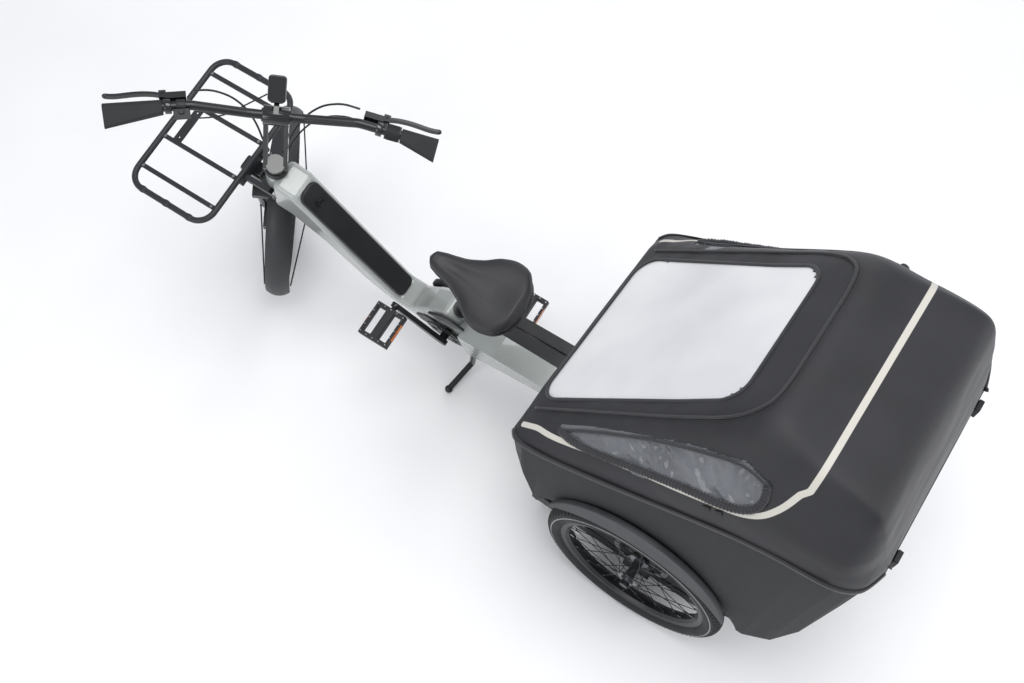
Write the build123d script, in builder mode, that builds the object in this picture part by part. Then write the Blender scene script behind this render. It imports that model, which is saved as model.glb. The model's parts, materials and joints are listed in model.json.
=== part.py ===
"""Leaning cargo tricycle: one steered front wheel, a front section that leans, and a covered
cargo box between two rear wheels.

The vehicle frame has X forward, Y to the left and Z up. It starts at the ground under the rear
axle, and the finished pieces are moved so that the origin is under the middle of the length.
Pieces of the front section are drawn upright, and pieces of the steering are drawn about the
steering axis. The stand holds the front section at LEAN_ANGLE with the bar turned by STEER_ANGLE.
"""
from build123d import *
from math import cos, hypot, radians, sin, sqrt, tan
import os

os.makedirs("parts", exist_ok=True)

# ---------------------------------------------------------------- driving dimensions, in mm
ORIGIN_X = 601.0            # from the rear axle forward to the origin
WHEELBASE = 1473.0
DRAWN_WHEELBASE = 1473.0    # the wheelbase at which the frame outlines are drawn
TYRE_RADIUS = 255.0
DRAWN_TYRE_RADIUS = 255.0   # the tyre radius at which they are drawn
REAR_TRACK = 686.0
HEAD_ANGLE = 70.5           # of the steering axis from the ground, in degrees
FORK_OFFSET = 45.0
wheel_change = TYRE_RADIUS - DRAWN_TYRE_RADIUS
# how far the head tube moves forward with the wheelbase, and back when the wheels are smaller
front_shift = WHEELBASE - DRAWN_WHEELBASE + wheel_change / tan(radians(HEAD_ANGLE))
# along the steering axis from its foot, which is level with the axle
HEAD_TOP = 588.0 - wheel_change / sin(radians(HEAD_ANGLE))
HEAD_LENGTH = 222.0
STEER_ANGLE = -60.0         # bar turned right against its stop
LEAN_ANGLE = 14.2           # front section leaned left on its stand
LEAN_AXIS_REAR_Z = 265.0
LEAN_AXIS_FRONT_Z = 92.0
RUNNING_GAP = 0.05          # radial clearance of every shaft in its bore
CLEAR = 0.3                 # between pieces that move past each other

TYRE_WIDTH = 54.0
TYRE_DEPTH = 52.0
TYRE_WALL = 4.0
RIM_RADIUS = TYRE_RADIUS - 43.0
RIM_WIDTH = 36.0
RIM_DEPTH = 22.0
SPOKES_PER_SIDE = 18
SPOKE_RADIUS = 1.0
SPOKE_CROSS = 60.0          # from hub hole to rim hole, in degrees
FLANGE_RADIUS = 30.0
FLANGE_Y = 28.0
FLANGE_THICKNESS = 3.0
HUB_HALF = 38.0
HUB_RADIUS = 13.0
ROTOR_RADIUS = 80.0
ROTOR_THICKNESS = 1.8
FRONT_AXLE_RADIUS = 6.0
REAR_AXLE_RADIUS = 8.0

STEERER_RADIUS = 14.3
HEAD_TUBE_RADIUS = 28.0
FORK_LEG_Y = 58.0
FORK_LEG_RADIUS = 15.0
DROPOUT_Y = 50.0            # inner faces of the fork ends
CROWN_Z = HEAD_TOP - 270.0
FENDER_RADIUS = 284.0
FENDER_WIDTH = 70.0
FENDER_FROM = -6.0
FENDER_TO = 186.0
BAR_FORWARD = 87.0
BAR_RISE = 149.0            # of the bar clamp above the head tube
BAR_HALF = 376.0
BAR_BACK = 40.0
BAR_UP = 32.0
BAR_RADIUS = 11.1
CLAMP_RADIUS = 15.9
GRIP_LENGTH = 128.0
GRIP_RADIUS = 16.0

BB_X = 789.0                # crank axle
BB_Z = 290.0
CRANK_LENGTH = 170.0
CRANK_ANGLE = 41.0          # left crank above forward, in degrees
CRANK_AXLE_RADIUS = 12.0
CRANK_Y = 73.0              # inner face of each crank arm
SEAT_ANGLE = 73.0
SEAT_COLLAR = 158.0         # along the seat tube from the crank axle
POST_RADIUS = 15.9
POST_FOOT = 78.0
SADDLE_Z = 842.0
SADDLE_TAIL_X = 502.0
SADDLE_LENGTH = 262.0
SADDLE_HALF = 93.0
SADDLE_THICKNESS = 42.0
FRAME_HALF = 43.0

RACK_Z = 698.0
RACK_REAR_X = 1356.0 + front_shift
RACK_FOOT_X = 1250.0 + front_shift      # where the rack meets the head tube
RACK_FRONT_X = 1612.0 + front_shift
RACK_HALF = 206.0
RACK_TUBE = 8.0

ARCH_RADIUS = 300.0
WELL_Y = 290.0              # inner wall of each wheel well
ARCH_TRIM_Y = 372.0
ARCH_TRIM_THICKNESS = 15.0
CANOPY_WALL = 3.5
CAVITY_HALF = 262.0
CAVITY_FLOOR_Z = 178.0
LEDGE_Z = 262.0
HOOP_RADIUS = 8.0

# Stations of the cargo box and its cover: x, seam height, cover height, cover half widths
STATIONS = [
    (400.0, 598.0, 618.0, (330.0, 322.0, 300.0, 285.0, 262.0)),
    (375.0, 610.0, 643.5, (356.0, 345.0, 320.0, 298.0, 262.0)),
    (283.0, 652.0, 738.0, (366.0, 350.0, 322.0, 290.0, 256.0)),
    (102.0, 741.0, 925.0, (366.0, 345.0, 303.0, 270.0, 234.0)),
    (-75.0, 832.0, 1107.0, (362.0, 344.0, 297.0, 254.0, 196.0)),
    (-200.0, 884.0, 1104.0, (358.0, 345.0, 303.0, 262.0, 222.0)),
    (-345.0, 894.0, 1086.0, (350.0, 338.0, 300.0, 268.0, 238.0)),
    (-405.0, 879.0, 965.0, (318.0, 310.0, 288.0, 264.0, 236.0)),
    (-432.0, 866.0, 880.0, (252.0, 249.0, 244.0, 238.0, 228.0)),
]
RISE_SHARES = (0.0, 0.30, 0.66, 0.90, 1.0)
# Stations of the cargo box below its seam: x, bottom height, half width, chine height, half width
TUB_STATIONS = [
    (400.0, 552.0, 290.0, 570.0, 318.0),
    (375.0, 490.0, 300.0, 540.0, 346.0),
    (340.0, 395.0, 300.0, 470.0, 362.0),
    (300.0, 165.0, 280.0, 330.0, 356.0),
    (180.0, 150.0, 282.0, 400.0, 374.0),
    (-180.0, 150.0, 282.0, 400.0, 374.0),
    (-300.0, 152.0, 262.0, 330.0, 346.0),
    (-360.0, 205.0, 246.0, 350.0, 326.0),
    (-395.0, 330.0, 236.0, 460.0, 306.0),
    (-412.0, 600.0, 226.0, 700.0, 290.0),
    (-432.0, 838.0, 210.0, 852.0, 246.0),
]


# ---------------------------------------------------------------- places and helpers
def turn_about(point, direction, angle):
    """A turn by angle degrees about a line through point."""
    there = Vector(*point)
    return Location(there, Vector(*direction), angle) * Location(there * -1)


def span(low, high):
    """A solid box between two corners."""
    size = [b - a for a, b in zip(low, high)]
    middle = [(a + b) / 2 for a, b in zip(low, high)]
    return Pos(*middle) * Box(*size, mode=Mode.PRIVATE)


def rod(start, end, radius):
    """A round bar from start to end."""
    along = Vector(*end) - Vector(*start)
    bar = Cylinder(radius, along.length, align=(Align.CENTER, Align.CENTER, Align.MIN), mode=Mode.PRIVATE)
    return Plane(origin=start, z_dir=along).location * bar


def tube_path(points, radii, radius):
    """A round tube along straight runs joined by arcs."""
    with BuildPart() as tube:
        with BuildLine() as route:
            FilletPolyline(*points, radius=radii)
        with BuildSketch(Plane(origin=route.line @ 0, z_dir=route.line % 0)):
            Circle(radius)
        sweep(path=route.line)
    return tube.part


def save(builder, name, where):
    """Move a finished piece to its place and write it."""
    builder.part.label = name
    placed = builder.part.moved(where)
    placed.label = name
    export_step(placed, f"parts/{name}.step")


head = radians(HEAD_ANGLE)
STEER_UP = Vector(-cos(head), 0, sin(head))
STEER_FORWARD = Vector(sin(head), 0, cos(head))
STEER_FOOT = Vector(WHEELBASE, 0, TYRE_RADIUS) - STEER_FORWARD * FORK_OFFSET
LEAN_LINE = Vector(WHEELBASE, 0, LEAN_AXIS_FRONT_Z - LEAN_AXIS_REAR_Z)

ON_CARRIAGE = Location((-ORIGIN_X, 0, 0))
lean_turn = turn_about((0, 0, LEAN_AXIS_REAR_Z), LEAN_LINE, -LEAN_ANGLE)
steer_place = Plane(origin=STEER_FOOT, x_dir=STEER_FORWARD, z_dir=STEER_UP).location
steer_turn = Location((0, 0, 0), (0, 0, STEER_ANGLE))


def tyre_lift():
    """How far the leaned and steered front tyre would stand above the ground."""
    spin = lean_turn * steer_place * steer_turn
    middle = (spin * Location((FORK_OFFSET, 0, 0))).position
    side = (spin * Location((FORK_OFFSET, 1, 0))).position - middle
    ring = TYRE_RADIUS - TYRE_DEPTH / 2
    return middle.Z - ring * sqrt(1 - side.Z ** 2) - TYRE_DEPTH / 2


lifted = Location((0, 0, -tyre_lift()))
ON_FRAME = ON_CARRIAGE * lifted * lean_turn
ON_STEERING = ON_FRAME * steer_place * steer_turn


def lean_height(x):
    """Height of the lean axis above the ground at x, before its small lift."""
    return LEAN_AXIS_REAR_Z + LEAN_LINE.Z / LEAN_LINE.X * x


# ---------------------------------------------------------------- wheels
def wheel(prefix, where, axle_radius, disc_side):
    """One wheel about Y, with its brake disc on disc_side (+1 left, -1 right)."""
    middle = TYRE_RADIUS - TYRE_DEPTH / 2
    with BuildPart() as tyre:
        with BuildSketch(Plane.XY):
            with Locations((middle, 0)):
                Ellipse(TYRE_DEPTH / 2, TYRE_WIDTH / 2)
                Ellipse(TYRE_DEPTH / 2 - TYRE_WALL, TYRE_WIDTH / 2 - TYRE_WALL, mode=Mode.SUBTRACT)
            with Locations((RIM_RADIUS - RIM_DEPTH, 0)):
                Rectangle(2 * RIM_DEPTH, RIM_WIDTH, mode=Mode.SUBTRACT)
        revolve(axis=Axis.Y)
    save(tyre, f"{prefix}_tyre", where)

    inner = RIM_RADIUS - RIM_DEPTH
    half = RIM_WIDTH / 2
    with BuildPart() as rim:
        with BuildSketch(Plane.XY):
            with BuildLine():
                Polyline(
                    (inner, -half + 10), (inner, half - 10), (inner + 7, half - 2), (inner + 14, half),
                    (RIM_RADIUS, half), (RIM_RADIUS, half - 3), (RIM_RADIUS - 7, half - 4),
                    (RIM_RADIUS - 9, half - 10), (RIM_RADIUS - 9, -half + 10),
                    (RIM_RADIUS - 7, -half + 4), (RIM_RADIUS, -half + 3), (RIM_RADIUS, -half),
                    (inner + 14, -half), (inner + 7, -half + 2), close=True)
            make_face()
        revolve(axis=Axis.Y)
    save(rim, f"{prefix}_rim", where)

    hub_hole = FLANGE_RADIUS - 3
    head_offset = FLANGE_THICKNESS / 2 + SPOKE_RADIUS - 0.1
    step = 360 / SPOKES_PER_SIDE
    with BuildPart() as spokes:
        for side in (-1, 1):
            for i in range(SPOKES_PER_SIDE):
                lead = 1 if i % 2 else -1
                at_hub = radians(step * i + (step / 2 if side > 0 else 0))
                at_rim = at_hub - radians(SPOKE_CROSS) * lead
                start = (hub_hole * cos(at_hub), side * FLANGE_Y + lead * head_offset, hub_hole * sin(at_hub))
                end = ((inner + 1) * cos(at_rim), side * 4, (inner + 1) * sin(at_rim))
                add(rod(start, end, SPOKE_RADIUS), clean=False)
    save(spokes, f"{prefix}_spokes", where)

    bore = axle_radius + RUNNING_GAP
    with BuildPart() as hub:
        with BuildSketch(Plane.XY):
            with Locations((0, 0)):
                Rectangle(HUB_RADIUS, 2 * HUB_HALF, align=(Align.MIN, Align.CENTER))
            for side in (-1, 1):
                with Locations((0, side * FLANGE_Y)):
                    Rectangle(FLANGE_RADIUS, FLANGE_THICKNESS, align=(Align.MIN, Align.CENTER))
                with Locations((0, side * (FLANGE_Y + 5))):
                    Rectangle(HUB_RADIUS + 4, 6, align=(Align.MIN, Align.CENTER))
            Rectangle(bore, 2 * HUB_HALF, align=(Align.MIN, Align.CENTER), mode=Mode.SUBTRACT)
        revolve(axis=Axis.Y)
        disc_plane = Plane.XZ.offset(-disc_side * HUB_HALF)
        with BuildSketch(disc_plane):
            Circle(ROTOR_RADIUS)
            Circle(ROTOR_RADIUS - 15, mode=Mode.SUBTRACT)
            with PolarLocations(ROTOR_RADIUS - 7.5, 24):
                Circle(2.5, mode=Mode.SUBTRACT)
            Circle(24)
            with PolarLocations(44, 6):
                Rectangle(44, 7)
            Circle(bore, mode=Mode.SUBTRACT)
        extrude(amount=-disc_side * ROTOR_THICKNESS, mode=Mode.ADD)
    save(hub, f"{prefix}_hub", where)


wheel("front", ON_STEERING * Location((FORK_OFFSET, 0, 0)), FRONT_AXLE_RADIUS, 1)
for side_name, side in (("left", 1), ("right", -1)):
    hub_middle = (0, side * REAR_TRACK / 2, TYRE_RADIUS)
    wheel(f"rear_{side_name}", ON_CARRIAGE * Location(hub_middle), REAR_AXLE_RADIUS, -side)


# ---------------------------------------------------------------- cargo box
def cover_form(inset):
    """The outer form of the fabric cover, every wall moved in by inset."""
    with BuildPart() as form:
        for x, seam, top, widths in STATIONS:
            shift = inset * (1 if x < 0 else -1) if x in (STATIONS[0][0], STATIONS[-1][0]) else 0
            with BuildSketch(Plane.YZ.offset(x + shift)):
                with BuildLine():
                    rim = [(widths[0] - inset, seam - 60)]
                    for share, width in zip(RISE_SHARES, widths):
                        rim.append((width - inset, seam + share * (top - inset * 1.4 - seam)))
                    mirrored = [(-y, z) for y, z in reversed(rim)]
                    Polyline(*rim, *mirrored, close=True)
                make_face()
        loft(ruled=True)
    return form.part


def seam_block(reach, up):
    """Everything above (up) or below the seam between the box and its cover."""
    far = 1400.0 if up else -200.0
    with BuildPart() as block:
        with BuildSketch(Plane.XZ.offset(-reach)):
            with BuildLine():
                line = [(x, seam) for x, seam, top, widths in STATIONS]
                first, last = line[0], line[-1]
                Polyline(
                    (first[0] + 60, far), (first[0] + 60, first[1]), *line,
                    (last[0] - 60, last[1]), (last[0] - 60, far), close=True)
            make_face()
        extrude(amount=2 * reach)
    return block.part


def tub_form():
    """The outer form of the foam box, up to the seam."""
    def seam_at(x):
        for (x1, s1, t1, w1), (x2, s2, t2, w2) in zip(STATIONS, STATIONS[1:]):
            if x1 >= x >= x2:
                share = (x1 - x) / (x1 - x2)
                return s1 + share * (s2 - s1), w1[0] + share * (w2[0] - w1[0])
        raise ValueError(x)

    with BuildPart() as form:
        for x, bottom, half, chine, chine_half in TUB_STATIONS:
            seam, seam_half = seam_at(x)
            with BuildSketch(Plane.YZ.offset(x)):
                with BuildLine():
                    side = [(half, bottom), (chine_half, chine), (seam_half, seam), (seam_half, seam + 40)]
                    mirrored = [(-y, z) for y, z in reversed(side)]
                    Polyline(*side, *mirrored, close=True)
                make_face()
        loft(ruled=True)
    return form.part - seam_block(500, True)


def arch_band(low, high):
    """The crescent round each wheel arch, between two distances from the middle."""
    with BuildPart() as band:
        with BuildSketch(Plane.XZ.offset(-low)):
            with Locations((3, TYRE_RADIUS + 128)):
                Circle(ARCH_RADIUS - 50)
            with Locations((5, TYRE_RADIUS)):
                Circle(ARCH_RADIUS, mode=Mode.SUBTRACT)
        extrude(amount=-(high - low))
    return band.part


tub_outer = tub_form()
arch_recess = arch_band(ARCH_TRIM_Y, ARCH_TRIM_Y + 60)
guards = tub_outer & (span((352, 270, 470), (420, 400, 640)) + span((352, -400, 470), (420, -270, 640)))

with BuildPart() as cargo_tub:
    add(tub_outer)
    # the wheel wells
    with BuildSketch(Plane.XZ.offset(-WELL_Y)):
        with Locations((5, TYRE_RADIUS)):
            Circle(ARCH_RADIUS)
    extrude(amount=-200, mode=Mode.SUBTRACT)
    with BuildSketch(Plane.XZ.offset(WELL_Y)):
        with Locations((5, TYRE_RADIUS)):
            Circle(ARCH_RADIUS)
    extrude(amount=200, mode=Mode.SUBTRACT)
    # the footwell, the ledge under the bench, and the wide upper part
    add(span((30, -CAVITY_HALF, CAVITY_FLOOR_Z), (285, CAVITY_HALF, 1000)), mode=Mode.SUBTRACT)
    add(span((-330, -CAVITY_HALF, LEDGE_Z), (31, CAVITY_HALF, 1000)), mode=Mode.SUBTRACT)
    with BuildSketch(Plane.XY.offset(TYRE_RADIUS + ARCH_RADIUS + 36)):
        with Locations((-14, 0)):
            RectangleRounded(718, 660, 90)
    extrude(amount=400, mode=Mode.SUBTRACT)
    add(arch_recess, mode=Mode.SUBTRACT)
    add(arch_recess.mirror(Plane.XZ), mode=Mode.SUBTRACT)
    add(guards, mode=Mode.SUBTRACT)
save(cargo_tub, "cargo_tub", ON_CARRIAGE)

arch_trim = arch_band(ARCH_TRIM_Y, ARCH_TRIM_Y + ARCH_TRIM_THICKNESS)
with BuildPart() as arch_trims:
    add(arch_trim)
    add(arch_trim.mirror(Plane.XZ))
save(arch_trims, "arch_trims", ON_CARRIAGE)

with BuildPart() as corner_guards:
    add(guards)
save(corner_guards, "corner_guards", ON_CARRIAGE)

# ---------------------------------------------------------------- fabric cover and windows
ridge_x, ridge_z = STATIONS[4][0], STATIONS[4][2]
lip_x, lip_z = STATIONS[0][0], STATIONS[0][2]
slope_length = hypot(ridge_x - lip_x, ridge_z - lip_z)
slope_up = Vector((ridge_x - lip_x) / slope_length, 0, (ridge_z - lip_z) / slope_length)
slope_out = Vector(slope_up.Z, 0, -slope_up.X)
screen_plane = Plane(
    origin=((ridge_x + lip_x) / 2, 0, (ridge_z + lip_z) / 2), x_dir=(0, 1, 0), z_dir=slope_out)


def screen_sketch(grow):
    """The windscreen's rounded outline on the sloping front, grown by grow."""
    low, high = -slope_length / 2 + 17 - grow, slope_length / 2 - 82 + grow
    with BuildSketch(screen_plane) as outline:
        with BuildLine():
            # the plane's own y runs down the slope when x points left
            sign = 1 if screen_plane.y_dir.Z > 0 else -1
            Polyline(
                (-236 - grow, sign * low), (236 + grow, sign * low),
                (184 + grow, sign * high), (-184 - grow, sign * high), close=True)
        make_face()
        fillet(outline.vertices(), 52)
    return outline.sketch


def side_window_sketch(grow):
    """The side window's outline seen from the side, grown by grow."""
    with BuildSketch(Plane.XZ) as outline:
        with BuildLine():
            Polyline(
                (290, 710), (193, 760), (76, 834), (-31, 902), (-116, 940), (-152, 968), (-163, 1002), (-150, 1034),
                (-90, 1042), (-5, 980), (115, 876), (221, 780), close=True)
        make_face()
        fillet(outline.vertices(), 4)
        if grow:
            offset(amount=grow)
    return outline.sketch


cover_outer = cover_form(0)
cover_inner = cover_form(CANOPY_WALL)
below_seam = seam_block(500, False)
screen_sheet = screen_sketch(9)
with BuildPart() as windscreen:
    extrude(screen_sheet, amount=-CANOPY_WALL - 2.5)
    extrude(screen_sheet, amount=-CANOPY_WALL - 1, mode=Mode.SUBTRACT)
save(windscreen, "windscreen", ON_CARRIAGE)

screen_opening = screen_sketch(0)
window_opening = side_window_sketch(0)
with BuildPart() as canopy_cover:
    add(cover_outer)
    add(cover_inner, mode=Mode.SUBTRACT)
    add(below_seam, mode=Mode.SUBTRACT)
    extrude(screen_opening, amount=20, both=True, mode=Mode.SUBTRACT)
    extrude(window_opening, amount=500, both=True, mode=Mode.SUBTRACT)
    add(windscreen.part, mode=Mode.SUBTRACT)
save(canopy_cover, "canopy_cover", ON_CARRIAGE)

window_inner = cover_form(CANOPY_WALL + 1.2)
window_sheet = side_window_sketch(8)
middle_block = span((-500, -200, 0), (500, 200, 1300))
with BuildPart() as side_windows:
    extrude(window_sheet, amount=500, both=True)
    add(cover_inner, mode=Mode.INTERSECT)
    add(window_inner, mode=Mode.SUBTRACT)
    add(middle_block, mode=Mode.SUBTRACT)
save(side_windows, "side_windows", ON_CARRIAGE)


def hoop(x, points):
    """One cover hoop across the box at x, from its left half's points."""
    left = [(x, y, z) for y, z in points]
    right = [(x, -y, z) for y, z in reversed(points)]
    return tube_path(left + right, 38, HOOP_RADIUS)


front_hoop = hoop(-72, [(322, 640), (322, 850), (262, 1015), (175, 1078)])
rear_hoop = hoop(-318, [(300, 640), (300, 930), (255, 1040), (180, 1062)])
with BuildPart() as canopy_hoops:
    add(front_hoop)
    add(rear_hoop)
save(canopy_hoops, "canopy_hoops", ON_CARRIAGE)

with BuildPart() as hem_buckles:
    for side in (-1, 1):
        end_x = STATIONS[-1][0]
        add(span((end_x - 11, side * 202 - 15, 838), (end_x, side * 202 + 15, 874)))
    fillet(hem_buckles.edges().filter_by(Axis.X), 4)
save(hem_buckles, "hem_buckles", ON_CARRIAGE)

with BuildPart() as bench_cushion:
    add(span((-270, -CAVITY_HALF + 8, LEDGE_Z), (24, CAVITY_HALF - 8, LEDGE_Z + 62)))
    fillet(bench_cushion.edges().group_by(Axis.Z)[-1], 18)
save(bench_cushion, "bench_cushion", ON_CARRIAGE)

with BuildPart() as back_cushion:
    add(span((-326, -CAVITY_HALF + 8, LEDGE_Z + 1), (-272, CAVITY_HALF - 8, 820)))
    fillet(back_cushion.edges().group_by(Axis.X)[-1], 16)
save(back_cushion, "back_cushion", ON_CARRIAGE)

with BuildPart() as tail_lights:
    for side in (-1, 1):
        add(span((-425, side * 190 - 38, 640), (-380, side * 190 + 38, 676)))
    fillet(tail_lights.edges().group_by(Axis.X)[0], 5)
    add(tub_outer, mode=Mode.SUBTRACT)
save(tail_lights, "tail_lights", ON_CARRIAGE)

# ---------------------------------------------------------------- carriage frame
RAIL_TOP = 147.0
RAIL_BOTTOM = 107.0
PLATE_Y = WELL_Y + 0.5
PLATE_THICKNESS = 8.0
BEARING_REAR_X = 334.0
BEARING_FRONT_X = 405.0
BEARING_RADIUS = 33.0
TILT_SHAFT_RADIUS = 18.0
hub_inner = REAR_TRACK / 2 - HUB_HALF - ROTOR_THICKNESS
hub_outer = REAR_TRACK / 2 + HUB_HALF


def on_lean_axis(x):
    """The point of the lean axis at x."""
    return (x, 0, lean_height(x))


with BuildPart() as carriage_frame:
    for side in (-1, 1):
        inner_y, outer_y = sorted((side * 255, side * 285))
        add(span((-250, inner_y, RAIL_BOTTOM), (345, outer_y, RAIL_TOP)))
        inner_y, outer_y = sorted((side * 280, side * (PLATE_Y + PLATE_THICKNESS)))
        add(span((-40, inner_y, RAIL_BOTTOM), (40, outer_y, RAIL_TOP)))
        with BuildSketch(Plane.XZ.offset(-side * PLATE_Y)):
            with BuildLine():
                Polyline(
                    (-40, RAIL_BOTTOM), (40, RAIL_BOTTOM), (40, TYRE_RADIUS + 30),
                    (-20, TYRE_RADIUS + 92), (-64, TYRE_RADIUS + 92), (-64, TYRE_RADIUS + 45),
                    (-40, TYRE_RADIUS), close=True)
            make_face()
        extrude(amount=-side * PLATE_THICKNESS)
        plate_y = side * (PLATE_Y + PLATE_THICKNESS)
        add(rod((0, plate_y, TYRE_RADIUS), (0, side * (hub_outer + 11), TYRE_RADIUS), REAR_AXLE_RADIUS))
        add(rod((0, plate_y, TYRE_RADIUS), (0, side * (hub_inner - CLEAR), TYRE_RADIUS), 12))
        add(rod((0, side * (hub_outer + CLEAR), TYRE_RADIUS), (0, side * (hub_outer + 11), TYRE_RADIUS), 12))
    add(span((-250, -256, RAIL_BOTTOM), (-215, 256, RAIL_TOP)))
    add(span((290, -256, RAIL_BOTTOM), (345, 256, RAIL_TOP)))
    add(span((BEARING_REAR_X, -24, RAIL_BOTTOM), (BEARING_FRONT_X - 6, 24, lean_height(370) - 10)))
    add(lifted * rod(on_lean_axis(BEARING_REAR_X), on_lean_axis(BEARING_FRONT_X), BEARING_RADIUS))
    add(lifted * rod(on_lean_axis(300), on_lean_axis(460), TILT_SHAFT_RADIUS + RUNNING_GAP), mode=Mode.SUBTRACT)
save(carriage_frame, "carriage_frame", ON_CARRIAGE)

with BuildPart() as rear_calipers:
    for side in (-1, 1):
        inner_y, outer_y = sorted((side * (PLATE_Y + PLATE_THICKNESS), side * (hub_inner + 11)))
        add(span((-66, inner_y, TYRE_RADIUS + 48), (-24, outer_y, TYRE_RADIUS + 98)))
        slot = sorted((side * (hub_inner - 1.6), side * (hub_inner + ROTOR_THICKNESS + 1.6)))
        add(span((-70, slot[0], TYRE_RADIUS + 30), (-20, slot[1], TYRE_RADIUS + 88)), mode=Mode.SUBTRACT)
save(rear_calipers, "rear_calipers", ON_CARRIAGE)

# ---------------------------------------------------------------- main frame, drawn upright
seat = radians(SEAT_ANGLE)
SEAT_UP = Vector(-cos(seat), 0, sin(seat))
CRANK_AXLE = Vector(BB_X, 0, BB_Z)


def on_seat_axis(distance):
    """The point of the seat tube's axis at a distance from the crank axle."""
    return CRANK_AXLE + SEAT_UP * distance


def beam_x(x):
    """A place on the beam: it stays at the cranks, and moves with the front wheel at the head tube."""
    return x + front_shift * max(0.0, min(1.0, (x - 905.0) / 253.0))


def on_steer_axis(distance):
    """The point of the steering axis at a distance from its foot, in the vehicle frame."""
    return STEER_FOOT + STEER_UP * distance


HEAD_BOTTOM = HEAD_TOP - HEAD_LENGTH
STAND_PIVOT = Vector(704, 50, 236)
BATTERY_TOP = Vector(beam_x(1158), 0, 758)
BATTERY_END = Vector(beam_x(968), 0, 268)
BATTERY_HALF = 33.0
BATTERY_DEPTH = 44.0
battery_down = (BATTERY_END - BATTERY_TOP).normalized()
battery_out = Vector(battery_down.Z, 0, -battery_down.X)
battery_plane = Plane(origin=BATTERY_TOP, x_dir=battery_down, z_dir=battery_out)
battery_length = (BATTERY_END - BATTERY_TOP).length


def side_plate(points, low, high, radius):
    """A plate cut to a side outline and rounded, from y = low to y = high."""
    with BuildPart() as plate:
        with BuildSketch(Plane.XZ.offset(-low)) as outline:
            with BuildLine():
                Polyline(*points, close=True)
            make_face()
            fillet(outline.vertices(), radius)
        extrude(amount=-(high - low))
    return plate.part


beam_outline = [
    (1222, 786), (1160, 764), (1062, 500), (972, 268), (925, 268), (850, 372), (778, 450),
    (722, 432), (742, 372), (738, 250), (800, 212), (905, 205), (1010, 222), (1078, 310),
    (1160, 500), (1235, 590), (1290, 596),
]
beam_outline = [(beam_x(x), z) for x, z in beam_outline]
case_outline = [(822, 402), (690, 430), (600, 440), (412, 440), (412, 352), (600, 300), (735, 245), (820, 245)]
motor_outline = [(770, 318), (745, 290), (752, 238), (800, 224), (896, 218), (910, 254), (866, 304)]
motor_block = side_plate(motor_outline, -FRAME_HALF - 4, FRAME_HALF + 4, 16)

beam = side_plate(beam_outline, -FRAME_HALF, FRAME_HALF, 16)
drive_case = side_plate(case_outline, 4, 70, 10) - span((716, 45, 100), (900, 120, 600))
with BuildPart() as frame:
    add(beam)
    fillet(frame.edges().filter_by(GeomType.LINE).filter_by(Plane.XZ), 14)
    add(rod(on_steer_axis(HEAD_BOTTOM), on_steer_axis(HEAD_TOP), HEAD_TUBE_RADIUS))
    add(rod(on_seat_axis(60), on_seat_axis(SEAT_COLLAR), POST_RADIUS + 13))
    # the closed case that runs back on the left, narrow beside the crank
    add(drive_case)
    # the yoke on the lean axis
    add(span((412, -50, 190), (440, 5, 400)))
    add(span((412, -50, 190), (440, 70, 360)))
    add(rod(on_lean_axis(409), on_lean_axis(444), 36))
    # the bracket and pin of the stand
    add(span((684, 10, 216), (726, STAND_PIVOT.Y - 7, 262)))
    add(rod(STAND_PIVOT - Vector(0, 30, 0), STAND_PIVOT + Vector(0, 16, 0), 5))
    # room for the battery, the motor and the shafts
    with BuildSketch(battery_plane.offset(20)):
        with Locations((battery_length / 2, 0)):
            RectangleRounded(battery_length, 2 * BATTERY_HALF, 24)
    extrude(amount=-BATTERY_DEPTH - 20, mode=Mode.SUBTRACT)
    add(motor_block, mode=Mode.SUBTRACT)
    add(rod(on_steer_axis(HEAD_BOTTOM - 20), on_steer_axis(HEAD_TOP + 20), STEERER_RADIUS + RUNNING_GAP),
        mode=Mode.SUBTRACT)
    add(rod(on_seat_axis(26), on_seat_axis(SEAT_COLLAR + 40), POST_RADIUS + RUNNING_GAP), mode=Mode.SUBTRACT)
    add(rod(on_lean_axis(390), on_lean_axis(452), TILT_SHAFT_RADIUS), mode=Mode.SUBTRACT)
save(frame, "frame", ON_FRAME)

with BuildPart() as battery:
    with BuildSketch(battery_plane.offset(8)) as outline:
        with Locations((battery_length / 2, 0)):
            RectangleRounded(battery_length, 2 * BATTERY_HALF, 24)
    extrude(amount=-BATTERY_DEPTH - 8)
    top_edges = battery.faces().sort_by(Axis(BATTERY_TOP, battery_out))[-1].edges()
    fillet(top_edges, 5)
    with BuildSketch(battery_plane.offset(8)):
        with Locations((60, 0)):
            Circle(12 + RUNNING_GAP)
    extrude(amount=-20, mode=Mode.SUBTRACT)
save(battery, "battery", ON_FRAME)

with BuildPart() as battery_lock:
    with BuildSketch(battery_plane.offset(-12)):
        with Locations((60, 0)):
            Circle(12)
    extrude(amount=21)
    with BuildSketch(battery_plane.offset(9)):
        with Locations((60, 0)):
            Rectangle(9, 2)
    extrude(amount=-4, mode=Mode.SUBTRACT)
save(battery_lock, "battery_lock", ON_FRAME)

with BuildPart() as motor:
    add(motor_block)
    fillet(motor.edges().filter_by(GeomType.LINE, reverse=True).group_by(Axis.Y)[-1], 3)
    add(rod((BB_X, -80, BB_Z), (BB_X, 80, BB_Z), CRANK_AXLE_RADIUS + RUNNING_GAP), mode=Mode.SUBTRACT)
    add(rod(on_seat_axis(26), on_seat_axis(SEAT_COLLAR), POST_RADIUS + 1), mode=Mode.SUBTRACT)
save(motor, "motor", ON_FRAME)

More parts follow.
